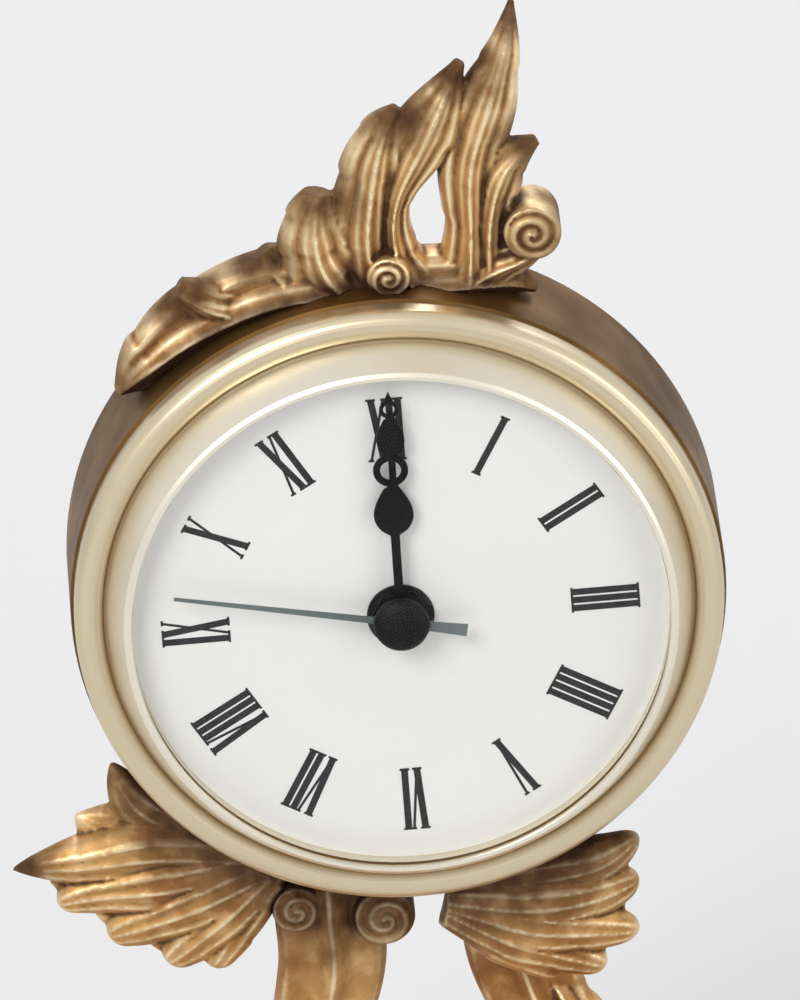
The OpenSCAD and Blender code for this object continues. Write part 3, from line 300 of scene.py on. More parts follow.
def makeBezelBrass(look):
    material, tree = startMaterial("lacqueredPaleBrass")
    coords = addNode(tree, "ShaderNodeTexCoord").outputs["Object"]
    centred = addNode(tree, "ShaderNodeMapping", {"Vector": coords, "Location": (0, 0, -dialHeight * mm)})
    parts = addNode(tree, "ShaderNodeSeparateXYZ", {0: centred.outputs[0]})
    flat = addNode(tree, "ShaderNodeCombineXYZ", {0: parts.outputs["X"], 1: parts.outputs["Z"]})
    radius = addNode(tree, "ShaderNodeVectorMath", {0: flat.outputs[0]}, operation="LENGTH")
    onBead = addNode(tree, "ShaderNodeMapRange", {
        "Value": radius.outputs["Value"], "From Min": (look["slopeRadius"] - 1) * mm,
        "From Max": (look["slopeRadius"] + 1) * mm})
    cloud = addNode(tree, "ShaderNodeTexNoise", {"Vector": coords, "Scale": perMm(look["clouds"]), "Detail": 5.0})
    rings = addNode(tree, "ShaderNodeTexNoise", {"W": radius.outputs["Value"], "Scale": perMm(look["lines"])},
                    noise_dimensions="1D")
    hollow = addNode(tree, "ShaderNodeAmbientOcclusion", {"Distance": look["grooveDepth"] * mm}, samples=8)
    openness = addNode(tree, "ShaderNodeMapRange", {
        "Value": hollow.outputs["AO"], "From Min": look["open"][0], "From Max": look["open"][1]})
    tint = addNode(tree, "ShaderNodeMix", {0: onBead.outputs[0], 6: linear(look["slope"]), 7: linear(look["bead"])},
                   data_type="RGBA")
    # painted shade: the groove colour where occlusion is deep
    colour = addNode(tree, "ShaderNodeMix", {0: openness.outputs[0], 6: linear(look["groove"]), 7: tint.outputs[2]},
                     data_type="RGBA")
    rough = addNode(tree, "ShaderNodeMapRange", {
        "Value": cloud.outputs["Fac"], **noiseSpan, "To Min": look["roughness"][0], "To Max": look["roughness"][1]})
    turned = addNode(tree, "ShaderNodeBump", {
        "Height": rings.outputs["Fac"], "Distance": look["lineDepth"] * mm, "Strength": 0.5})
    endMaterial(tree, addNode(tree, "ShaderNodeBsdfPrincipled", {
        "Base Color": colour.outputs[2], "Metallic": look["metallic"], "Roughness": rough.outputs[0],
        "Normal": turned.outputs[0]}))
    return material


# Domed clock glass: clear, with wiping marks in its gloss and little reflection
glassLook = {"ior": 1.14, "smears": 20, "smearRoughness": 0.02}


def makeGlass(look):
    material, tree = startMaterial("clearClockGlass")
    coords = addNode(tree, "ShaderNodeTexCoord").outputs["Object"]
    film = addNode(tree, "ShaderNodeTexNoise", {"Vector": coords, "Scale": perMm(look["smears"]), "Detail": 4.0})
    rough = addNode(tree, "ShaderNodeMapRange", {
        "Value": film.outputs["Fac"], "To Min": 0.0, "To Max": look["smearRoughness"]})
    glass = addNode(tree, "ShaderNodeBsdfPrincipled", {
        "Base Color": (1, 1, 1, 1), "Roughness": rough.outputs[0], "IOR": look["ior"], "Transmission Weight": 1.0})
    # light reaches the dial straight through
    through = addNode(tree, "ShaderNodeBsdfTransparent")
    path = addNode(tree, "ShaderNodeLightPath")
    lets = addNode(tree, "ShaderNodeMath", {0: path.outputs["Is Shadow Ray"], 1: path.outputs["Is Diffuse Ray"]},
                   operation="MAXIMUM")
    mix = addNode(tree, "ShaderNodeMixShader", {0: lets.outputs[0], 1: glass.outputs[0], 2: through.outputs[0]})
    endMaterial(tree, mix)
    return material


materials = {
    "cast_gilt": makeCastGilt(castGiltLook),
    # spun sheet under the same gilding, kept duller: faint lines round the drum and brown clouds
    "drum_gilt": makeTurned("spunDullGilt", "#7c5b31", "#543b1a", 0.5, 0.5, 0.02, metallic=0.85, mottle=14.0),
    "bezel_brass": makeBezelBrass(bezelLook),
    # turned brass: warm, with tool lines under a worn polish
    "plain_brass": makeTurned("turnedBrass", "#d3ad5c", "#b48c40", 0.3, 0.4, 0.01),
    # nickel plating whose deep grey is painted shade for the nut behind the hands: a dark grey metal with soft gloss
    "nickel": makeTurned("nickelWithPaintedShade", "#4b4a4a", "#333334", 0.35, 0.3, 0.006),
    "glass": makeGlass(glassLook),
    # enamelled dial plate: matt white, a touch warm, with the faint orange peel of sprayed enamel
    "dial_white": makeCoated("sprayedWhiteEnamel", "#eeeeeb", "#e8e8e4", 0.55, 1.6, 0.01),
    # lacquered steel hands: near black with a low satin gloss
    "hand_black": makeCoated("blackLacqueredSteel", "#0a0b0d", "#060708", 0.45, 0.6, 0.004, gloss=0.15),
    "hand_grey": makeCoated("greyLacqueredSteel", "#6f7776", "#5c6463", 0.45, 0.6, 0.004, gloss=0.3),
    # rubber washer: dead matt with a dusty bloom
    "rubber": makeCoated("blackRubber", "#1d1d1e", "#141415", 0.8, 0.4, 0.02),
    # moulded ABS: spark-eroded tool grain about 0.3 mm apart
    "movement_plastic": makeCoated("mouldedBlackAbs", "#2c2e32", "#232529", 0.5, 0.35, 0.02),
    # acetal wheels: milky, smooth and slightly waxy
    "gear_plastic": makeCoated("naturalAcetal", "#ece8da", "#dfd9c6", 0.38, 0.8, 0.006),
    # zinc-plated steel: cool grey with fine turning lines
    "steel": makeTurned("platedSteel", "#b4b8bb", "#8e9295", 0.34, 0.4, 0.008),
    # enamelled wire: glossy copper, its turns drawn as a fine ripple
    "copper_wire": makeCoated("enamelledCopperWire", "#b5652f", "#8e4820", 0.3, 0.12, 0.05, metallic=0.9),
    # lacquered board: green with a hard clear gloss
    "circuit_green": makeCoated("greenCircuitLacquer", "#2f6b45", "#245638", 0.3, 0.7, 0.01, coat=0.4),
    # rolled steel can: soft grey with lines along the roll
    "battery_grey": makeTurned("rolledSteelCan", "#9b9ea2", "#84878b", 0.36, 0.6, 0.006),
    # wool felt: matted fibres, drawn at 0.5 mm so that they show
    "felt": makeCoated("greenWoolFelt", "#40503f", "#313d31", 0.95, 0.5, 0.12, sheen=0.4),
}
for row in frame["record"]["subparts"]:
    mesh = nodes[row["node"]].data
    mesh.materials.clear()
    mesh.materials.append(materials[row["material_slot"]])
print("materials made:", len(materials))


# The cast pieces are lofts of leaves and scrolls, fused like one pour and cut to what they sit on
def anglesRound(sides):
    return [2 * math.pi * k / sides for k in range(sides)]


def loftInto(bm, rings):
    rows = [[bm.verts.new(Vector(p) * mm) for p in ring] for ring in rings]
    sides = len(rings[0])
    for a, b in zip(rows, rows[1:]):
        for k in range(sides):
            n = (k + 1) % sides
            bm.faces.new((a[k], b[k], b[n], a[n]))
    bm.faces.new(rows[0])
    bm.faces.new(rows[-1][::-1])


def leafRings(points, rows=36, sides=40, hollows=2, hollowDepth=0.38, veins=6, veinDepth=0.1, notch=0.13,
              notches=4, base=dialHeight, blunt=0.0):
    # points: x, z over the base, half width, half depth, y; blunt: share of the length that rounds off at the tip
    path = smoothPoints(points, rows)
    rings = []
    for i, row in enumerate(path):
        ahead = Vector(path[min(i + 1, rows)][:2]) - Vector(path[max(i - 1, 0)][:2])
        out = Vector((-ahead.y, ahead.x)).normalized()
        saw = (i / rows * notches) % 1
        ending = max(0.0, (i / rows - 1 + blunt) / blunt) if blunt else 0.0
        tipRound = math.sqrt(max(0.03, 1 - ending * ending))
        width = row[2] * (1 - notch * saw * saw) * tipRound
        ring = []
        for t in anglesRound(sides):
            u, v = math.cos(t), math.sin(t)
            dip = 1 - hollowDepth * (1 - math.cos(math.pi * hollows * (1 + u))) / 2
            if veins:
                dip -= veinDepth * (1 - math.cos(math.pi * veins * (1 + u))) / 2
            h = v * dip if v > 0 else v
            ring.append((row[0] + out.x * width * u, row[4] - row[3] * h * tipRound,
                         base + row[1] + out.y * width * u))
        rings.append(ring)
    return rings


def voluteInto(bm, place, base=dialHeight, turns=2.2, ridge=0.55, crown=0.22, rim=0.97, rows=22, sides=64):
    # round end of a scroll with a band that winds in to the eye: x, z, radius, half depth, y
    x, z, radius, depth, y = place
    rings = []
    levels = [(1, i) for i in range(rows, 0, -1)] + [(-1, i) for i in range(1, rows + 1)]
    for front, i in levels:
        share = i / rows
        ring = []
        for k in range(sides):
            angle = 2 * math.pi * k / sides
            wave = math.cos(2 * math.pi * (turns * share - k / sides))
            if share < rim:
                lift = depth * (1 + crown * (1 - share)) + ridge * wave * (1 - 0.3 * share)
            else:
                lift = depth * 0.9 - ridge * 0.5
            ring.append((x + radius * share * math.cos(angle), y + front * lift,
                         base + z + radius * share * math.sin(angle)))
        rings.append(ring)
    # the flat ends are at the eyes, so the skin runs from the back eye over the rim to the front eye
    loftInto(bm, rings[rows - 1::-1] + rings[:rows - 1:-1])


def tubeInto(bm, points, rows=24, sides=20):
    # round limb through points x, y, z, radius
    path = smoothPoints(points, rows)
    offAxis = Vector((0.31, 0.93, 0.2))  # no limb runs along it
    rings = []
    for i, row in enumerate(path):
        ahead = (Vector(path[min(i + 1, rows)][:3]) - Vector(path[max(i - 1, 0)][:3])).normalized()
        across = ahead.cross(offAxis).normalized()
        over = ahead.cross(across)
        rings.append([Vector(row[:3]) + row[3] * (math.cos(t) * across + math.sin(t) * over)
                      for t in anglesRound(sides)])
    loftInto(bm, rings)


def trunkInto(bm, points, rows=30, sides=40):
    # upright body of rings x, y, z, half width, half depth
    loftInto(bm, [[(p[0] + p[3] * math.cos(t), p[1] + p[4] * math.sin(t), p[2])
                   for t in anglesRound(sides)] for p in smoothPoints(points, rows)])


def ballInto(bm, place, radii):
    # a ball, or an egg where radii are three
    if not isinstance(radii, tuple):
        radii = (radii,) * 3
    size = Matrix.Diagonal((*(r * mm for r in radii), 1))
    bmesh.ops.create_icosphere(bm, subdivisions=3, radius=1, matrix=Matrix.Translation(Vector(place) * mm) @ size)


def ballsInto(bm, balls):
    # place and radii, on both sides where x isn't 0
    for place, radii in balls:
        for side in ((-1, 1) if place[0] else (1,)):
            ballInto(bm, (side * place[0], place[1], place[2]), radii)


def newPiece(name, bm):
    mesh = bpy.data.meshes.new(name)
    bmesh.ops.recalc_face_normals(bm, faces=bm.faces)
    bm.to_mesh(mesh)
    bm.free()
    piece = bpy.data.objects.new(name, mesh)
    bpy.context.scene.collection.objects.link(piece)
    return piece


def finishMesh(piece):
    # puts the modifiers' result into the mesh
    graph = bpy.context.evaluated_depsgraph_get()
    mesh = bpy.data.meshes.new_from_object(piece.evaluated_get(graph))
    piece.modifiers.clear()
    piece.data = mesh


# Wear of the gilding by how sharply the surface bends, from none to full in bends per mm: rubbed on ridges with a
# painted highlight, dirty in creases. Within so many mm of the leaves' tips it darkens, partly tarnish and partly
# painted shade, and painted shade darkens it where a casting meets the drum.
wearAndPaintedLightLook = {"ridge": (0.08, 0.65), "crease": (0.08, 0.6), "spread": 3, "tipReach": 10.0, "tipTarnishAndShade": 1.5,
            "seatPaintedShade": 1.3}


def markWearAndPaintedLight(mesh, c, tips, seatReach, rubbedAndHighlit):
    count = len(mesh.vertices)
    points, normals = np.empty(count * 3), np.empty(count * 3)
    mesh.vertices.foreach_get("co", points)
    mesh.vertex_normals.foreach_get("vector", normals)
    points, normals = points.reshape(-1, 3), normals.reshape(-1, 3)
    ends = np.empty(len(mesh.edges) * 2, dtype=np.int32)
    mesh.edges.foreach_get("vertices", ends)
    a, b = ends.reshape(-1, 2).T
    links = np.maximum(np.bincount(a, minlength=count) + np.bincount(b, minlength=count), 1)
    step = (points[b] - points[a]) / mm
    square = np.maximum((step ** 2).sum(1), 1e-6)

    def gather(atA, atB):
        return (np.bincount(a, weights=atA, minlength=count) + np.bincount(b, weights=atB, minlength=count)) / links

    bend = gather(-2 * (normals[a] * step).sum(1) / square, 2 * (normals[b] * step).sum(1) / square)
    for turn in range(c["spread"]):
        bend = (bend + gather(bend[b], bend[a])) / 2
    wearAndHighlight, patinaAndPaintedShade = (np.clip((value - low) / (high - low) + extra, 0, 1)
                   for (low, high), value, extra in ((c["ridge"], bend, rubbedAndHighlit), (c["crease"], -bend, 0)))
    # tips darken: partly tarnish, partly painted shade
    for tip in tips:
        away = np.sqrt(((points / mm - np.array(tip)) ** 2).sum(1))
        near = np.clip(c["tipTarnishAndShade"] * (1 - away / c["tipReach"]), 0, 1)
        patinaAndPaintedShade = np.maximum(patinaAndPaintedShade, near)
        wearAndHighlight = np.minimum(wearAndHighlight, 1 - near)
    # painted shade: darker the nearer the surface lies to the drum
    clear = np.hypot(points[:, 0] / mm, points[:, 2] / mm - dialHeight) - drumRadius
    patinaAndPaintedShade = np.maximum(patinaAndPaintedShade, np.clip(c["seatPaintedShade"] * (1 - clear / seatReach), 0, 1))
    for name, value in (("wearAndHighlight", wearAndHighlight), ("patinaAndPaintedShade", patinaAndPaintedShade)):
        if name in mesh.attributes:  # left there by a cutter that is itself a casting
            mesh.attributes.remove(mesh.attributes[name])
        layer = mesh.attributes.new(name, "FLOAT", "POINT")
        layer.data.foreach_set("value", value.astype(np.float32))


def tipsOf(leaves, side=1, shift=0.0):
    # the leaves' last points as x, y, z
    return [(side * (leaf[-1][0] + shift), leaf[-1][4], dialHeight + leaf[-1][1]) for leaf in leaves]


# seatReach: mm over which the painted shade by the drum fades out; rubbed: shifts the rubbed gilding and its painted
# highlight
def castPiece(name, bm, voxel, cutters=(), smoothing=3, tips=(), seatReach=6.0, rubbedAndHighlit=0.0):
    piece = newPiece(name, bm)
    if voxel:
        remesh = piece.modifiers.new("fuse", "REMESH")
        remesh.mode, remesh.voxel_size = "VOXEL", voxel * mm
    if smoothing:
        soft = piece.modifiers.new("soften", "SMOOTH")
        soft.factor, soft.iterations = 0.5, smoothing
    for cutter in cutters:
        cut = piece.modifiers.new("cut", "BOOLEAN")
        cut.operation, cut.solver, cut.object = "DIFFERENCE", "MANIFOLD", cutter
    bpy.context.view_layer.update()
    finishMesh(piece)
    piece.data.materials.clear()
    piece.data.materials.append(materials["cast_gilt"])
    for polygon in piece.data.polygons:
        polygon.use_smooth = True
    markWearAndPaintedLight(piece.data, wearAndPaintedLightLook, tips, seatReach, rubbedAndHighlit)
    return piece


def cutterRod(name, radius, start, end, sides=240):
    # along the drum's axis
    bm = bmesh.new()
    loftInto(bm, [[(radius * math.cos(a), y, dialHeight + radius * math.sin(a))
                   for a in anglesRound(sides)] for y in (start, end)])
    return newPiece(name, bm)


def cutterHoles(name, holes, sides=32):
    # upright holes: x, y, radius, lower and upper end
    bm = bmesh.new()
    for x, y, radius, low, high in holes:
        loftInto(bm, [[(x + radius * math.cos(a), y + radius * math.sin(a), z)
                       for a in anglesRound(sides)] for z in (low, high)])
    return newPiece(name, bm)


def cutterBlock(name, low, high):
    bm = bmesh.new()
    bmesh.ops.create_cube(bm, size=1)
    for v in bm.verts:
        v.co = Vector([(low[i] if v.co[i] < 0 else high[i]) * mm for i in range(3)])
    return newPiece(name, bm)


def seat(piece, body, slot, *replaced):
    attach(piece, body)
    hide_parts(*replaced)


seatGap = 0.03  # between the drum and what is screwed to it
farLow, farHigh = (-120, -60, -20), (120, 60, 40)  # corners of a block round the whole lower part
drumCutter = cutterRod("drumCutter", drumRadius + seatGap, -60, 60)
floorCutter = cutterBlock("floorCutter", farLow, (*farHigh[:2], plinthTop))

crest = {
    "voxel": 0.32, "rubbedAndHighlit": 0.5, "hollowDepth": 0.3, "seatReach": 4.5,
    "leaves": [
        [[-2, 53, 7, 7, 0], [-16, 53, 7, 8, 0], [-29, 48, 7.5, 7, 0], [-38, 42.5, 5.5, 5.5, -1],
         [-43.5, 37.5, 1, 2.5, -1]],
        [[-20, 50, 5, 5, -1], [-27, 52.5, 4, 5, -2], [-32.4, 55.6, 2.4, 2.4, -2.5]],
        [[-3, 50, 7.5, 7, 0], [-8, 58, 7.5, 7, -1], [-9, 65.5, 5.5, 5.5, -2], [-7.8, 71, 2.8, 2.5, -2.5]],
        [[-10, 50, 7, 6, 1], [-15, 56, 5.5, 6, 0.5], [-18, 60, 2, 2.5, 0]],
        [[1, 50, 8, 7, 0], [-0.5, 62, 6.6, 7, -1], [1.2, 74, 5.6, 6, -2], [3.4, 81, 3.8, 4.5, -2.5],
         [6, 85.3, 1, 1.5, -3]],
        [[8, 50, 5.5, 7, 0], [4.2, 60, 3.6, 6.5, -1], [4.8, 69.5, 3.2, 6, -1.5], [10.6, 80.5, 5.6, 5, -2],
         [17, 92.3, 1, 1.5, -2.5]],
        [[15.5, 50, 6, 7, 0], [16.6, 62, 4.4, 6.5, 0], [17.4, 74, 5.4, 6, -0.5], [21.2, 85, 5.2, 5, -1],
         [24.4, 94, 2.8, 3, -1.5], [26.2, 102.4, 0.5, 1, -2]],
        [[19, 52, 5.5, 6, 0.5], [20, 64, 4.4, 6, 0], [22.8, 72.5, 4.2, 5, -1], [28.6, 77, 1, 1.5, -2]],
        [[8, 53, 5, 7, 0], [17, 53, 4.5, 7, 0], [23, 51.5, 2.5, 4, 0], [27, 49.5, 1, 2, 0]],
        [[13, 52, 5, 6.5, 0], [20, 55, 4.5, 6, -0.5], [26.2, 57.2, 2.5, 5, -1], [29.6, 60, 1.5, 4, -1]]],
    "scrolls": [[26.8, 61.6, 4.8, 5, -1], [2.5, 57, 3.6, 3.1, -5.7]],
}


def makeCrest(c):
    bm = bmesh.new()
    for leaf in c["leaves"]:
        loftInto(bm, leafRings(leaf, hollowDepth=c["hollowDepth"]))
    for scroll in c["scrolls"]:
        voluteInto(bm, scroll)
    seat(castPiece("crestCasting", bm, c["voxel"], [drumCutter], tips=tipsOf(c["leaves"]),
                   seatReach=c["seatReach"], rubbedAndHighlit=c["rubbedAndHighlit"]), "clock", "cast_gilt", "crest")


makeCrest(crest)
print("crest made")

legs = {
    "voxel": 0.36, "x": 15.7, "mainHollowDepth": 0.4, "seatReach": 26.0, "rubbedAndHighlit": -0.2,
    "main": [[0, -49, 8.5, 7.5, 0], [0, -60, 9.2, 7.5, 0], [0.5, -74, 9, 7.5, 0], [7, -91, 7.6, 7, 0],
             [21, -106, 6.4, 6.5, 0], [29.5, -124, 6, 6.2, 0], [29.5, -141, 6.4, 6.5, 0], [37, -156, 8, 7.5, 0]],
    "leaves": [[[3, -73, 3, 3, 1.5], [8.5, -84, 4.8, 5, -2.5], [16, -96, 5.5, 5.5, -4], [28, -103, 4.5, 4.5, -4],
                [40, -101.5, 0.8, 1.5, -3]],
               [[7, -84, 2.6, 3, 1.5], [14, -95, 4, 5, -3], [24, -108, 4.5, 5, -4], [34, -117, 3.5, 4, -4],
                [43, -119, 0.8, 1.5, -3]]],
    # the last scroll is on the left leg only
    "scrolls": [[43, -146.5, 5.4, 5.5, 0], [5.4, -58.5, 4.2, 6.9, 0], [-9.2, -61.8, 5.2, 6, 0]],
}


def makeLeg(c, side, node, scrolls):
    bm = bmesh.new()
    loftInto(bm, leafRings(c["main"], rows=110, sides=48, hollowDepth=c["mainHollowDepth"], notch=0, veins=4))
    for leaf in c["leaves"]:
        loftInto(bm, leafRings(leaf))
    for scroll in scrolls:
        voluteInto(bm, scroll)
    for v in bm.verts:
        v.co.x = side * (v.co.x + c["x"] * mm)
    seat(castPiece(node + "Casting", bm, c["voxel"], [drumCutter, floorCutter],
                   tips=tipsOf(c["leaves"], side, c["x"]), seatReach=c["seatReach"], rubbedAndHighlit=c["rubbedAndHighlit"]),
         "clock", "cast_gilt", node)


makeLeg(legs, -1, "leg_left", legs["scrolls"])
makeLeg(legs, 1, "leg_right", legs["scrolls"][:2])
print("legs made")

sideLeaves = {
    "voxel": 0.32, "lobeWidth": 0.84, "lobeHollow": 0.1, "lobeNotch": 0.08, "blunt": 0.14, "seatReach": 16.0,
    # pointed: how many leaves, from the first, get tips darkened by tarnish and painted shade
    "webDepth": 0.62, "webBack": 1.2, "webReach": 0.93, "pointed": {"leaf_left": 2, "leaf_right": 0},
    "leaf_left": [
        [[-29, -46, 6, 5, -2], [-38, -43.5, 7.5, 5, -2], [-46.5, -38, 5.2, 4, -2], [-50, -31, 1, 1.5, -1]],
        [[-28, -49, 7, 6, -2], [-43, -46.5, 7.5, 6, -3], [-57, -47, 5, 4.5, -4], [-68, -47.2, 0.6, 1, -5]],
        [[-28, -51, 7, 6, -2], [-42, -52, 7.5, 6.5, -3.5], [-54, -52.5, 5, 4.5, -4.5], [-61, -54, 2.6, 2.2, -5]],
        [[-26, -52, 6, 6, -2], [-37, -55.5, 7, 6.5, -4], [-46.5, -58.5, 5.5, 4.5, -5], [-53, -60.5, 3, 2.4, -5.5]],
        [[-25, -52, 6, 6, -2], [-32, -57.5, 6.5, 6, -4], [-38.5, -62.5, 5.5, 4.5, -5], [-43.5, -66.5, 3, 2.4, -5.5]],
        [[-25, -51, 5, 5.5, -2], [-28.5, -56.5, 5.5, 5.5, -3.5], [-32.5, -62.5, 5, 4, -4.5],
         [-36, -68.5, 2.8, 2.2, -5]]],
    "leaf_right": [
        [[5, -56.5, 5, 4, -7], [19, -54.5, 6.5, 5, -8], [30, -53, 5, 4.5, -8], [37, -49.8, 1.8, 2, -7]],
        [[4, -58, 5, 4, -7], [18, -59, 6.5, 5.5, -9], [29, -58.5, 5.5, 4.5, -9], [36.5, -57, 2.6, 2.2, -8]],
        [[4, -59, 5, 4, -7], [17, -63, 6.5, 5.5, -9], [27, -64.5, 5.5, 4.5, -9.5], [36, -66, 2.6, 2.2, -9]],
        [[4, -60, 4, 4, -7], [14, -65, 6, 5, -9], [22.5, -68.5, 5, 4, -9.5], [30, -72, 2.8, 2.2, -9.5]],
        [[5, -61, 3, 4, -7], [12, -66, 4.5, 4.5, -8.5], [17.5, -69.5, 4, 3.5, -9], [22, -73, 2.4, 2, -9]]],
}


def webs(c, leaves):
    # a shorter and flatter leaf between each two, set back, so that the fan closes and its folds stay
    out = []
    for a, b in zip(leaves, leaves[1:]):
        web = [[(p + q) / 2 for p, q in zip(u, v)] for u, v in zip(a, b)]
        web[-1][:2] = [r + (t - r) * c["webReach"] for r, t in zip(web[0][:2], web[-1][:2])]
        out.append([[x, z, width, depth * c["webDepth"], y + c["webBack"]] for x, z, width, depth, y in web])
    return out


def makeSideLeaf(c, node, leg):
    bm = bmesh.new()
    for leaf in webs(c, c[node]):
        loftInto(bm, leafRings(leaf, hollows=1, hollowDepth=0, notch=c["lobeNotch"], blunt=c["blunt"]))
    for leaf in c[node]:
        lobe = [[x, z, width * c["lobeWidth"], depth, y] for x, z, width, depth, y in leaf]
        loftInto(bm, leafRings(lobe, hollows=1, hollowDepth=c["lobeHollow"], veins=4, notch=c["lobeNotch"],
                               notches=3, blunt=c["blunt"]))
    seat(castPiece(node + "Casting", bm, c["voxel"], [drumCutter, bpy.data.objects[leg + "Casting"]],
                   tips=tipsOf(c[node][:c["pointed"][node]]), seatReach=c["seatReach"]),
         "clock", "cast_gilt", node)


makeSideLeaf(sideLeaves, "leaf_left", "leg_left")
makeSideLeaf(sideLeaves, "leaf_right", "leg_right")
print("leaves made")

# Plinth: a wavy outline with a moulded edge of small gadroons, screwed to the legs, the figure and the feet
plinth = {
    "width": 154.0, "depth": 76.0, "bottom": 12.0, "squareness": 0.72, "wave": 0.045, "sides": 480, "rows": 60,
    "edge": [[3.4, 0], [0.9, 0.6], [0, 2.2], [0.5, 4], [3, 5.2], [5, 8.6], [8, 9.4], [10, 12]],  # inset, height
    "flatInsets": [1, 3, 7, 15, 26],  # rings across the flat top and bottom, from their rims
    "gadroons": 112, "gadroonDepth": 0.35, "gadroonBand": (0.8, 4.2),
    "screws": [(-52, 0), (0, 0), (52, 0)], "screwHead": 3.2, "headDepth": 2.55,
}


def makePlinth(c):
    rings = []
    low, high = c["gadroonBand"]
    under, over = c["edge"][0], c["edge"][-1]
    profile = ([(under[0] + step, under[1]) for step in reversed(c["flatInsets"])]
               + smoothPoints(c["edge"], c["rows"]) + [(over[0] + step, over[1]) for step in c["flatInsets"]])
    for inset, height in profile:
        band = max(0.0, 1 - abs(2 * (height - low) / (high - low) - 1)) ** 0.5
        ring = []
        for a in anglesRound(c["sides"]):
            wave = 1 - c["wave"] * (1 - math.cos(8 * a)) / 2
            cosine, sine = math.cos(a), math.sin(a)
            dip = inset + band * c["gadroonDepth"] * (1 - abs(math.cos(a * c["gadroons"] / 2)))
            ring.append((
                math.copysign(abs(cosine) ** c["squareness"], cosine) * (c["width"] / 2 - dip) * wave,
                math.copysign(abs(sine) ** c["squareness"], sine) * (c["depth"] / 2 - dip) * wave,
                c["bottom"] + height))
        rings.append(ring)
    bm = bmesh.new()
    loftInto(bm, rings)
    holes = cutterHoles("plinthHoles", [
        (x, y, c["screwHead"], c["bottom"] - 1, c["bottom"] + c["headDepth"]) for x, y in c["screws"]])
    seat(castPiece("plinthCasting", bm, 0, [holes], smoothing=0), "clock", "cast_gilt", "plinth")
    bpy.data.objects.remove(holes)


makePlinth(plinth)
print("plinth made")

# Feet: a scroll with a leaf, turned to its own corner
feet = {
    "voxel": 0.3, "bottom": 1.0, "top": 12.0,
    "places": {"foot_front_left": (-56, -23), "foot_front_right": (56, -23),
               "foot_back_left": (-56, 23), "foot_back_right": (56, 23)},
    "leaf": [[-8, 11.5, 4, 6.5, 0], [-2, 10, 4.5, 7.5, 0], [4, 7, 4.5, 7, 0], [6.5, 2.5, 3.6, 6, 0], [4, -1, 3, 5, 0]],
    "core": [[-1, 12, 6, 6.5, 0], [0, 6, 5, 6, 0], [0, 0, 5, 5.5, 0]],
    "scroll": [4.6, 4.2, 3.6, 6.6, 0],
}


def makeFeet(c):
    low = cutterBlock("lowCutter", farLow, (*farHigh[:2], c["bottom"]))
    high = cutterBlock("highCutter", (*farLow[:2], c["top"]), farHigh)
    for node, (x, y) in c["places"].items():
        bm = bmesh.new()
        loftInto(bm, leafRings(c["leaf"], base=0))
        loftInto(bm, leafRings(c["core"], hollows=1, hollowDepth=0, veins=0, notch=0, base=0))
        voluteInto(bm, c["scroll"], base=0)
        turn = Matrix.Translation((x * mm, y * mm, 0)) @ Matrix.Rotation(math.atan2(y, x), 4, "Z")
        bmesh.ops.transform(bm, matrix=turn, verts=bm.verts)
        seat(castPiece(node + "Casting", bm, c["voxel"], [low, high]), "clock", "cast_gilt", node)
    for cutter in (low, high):
        bpy.data.objects.remove(cutter)


makeFeet(feet)
print("feet made")

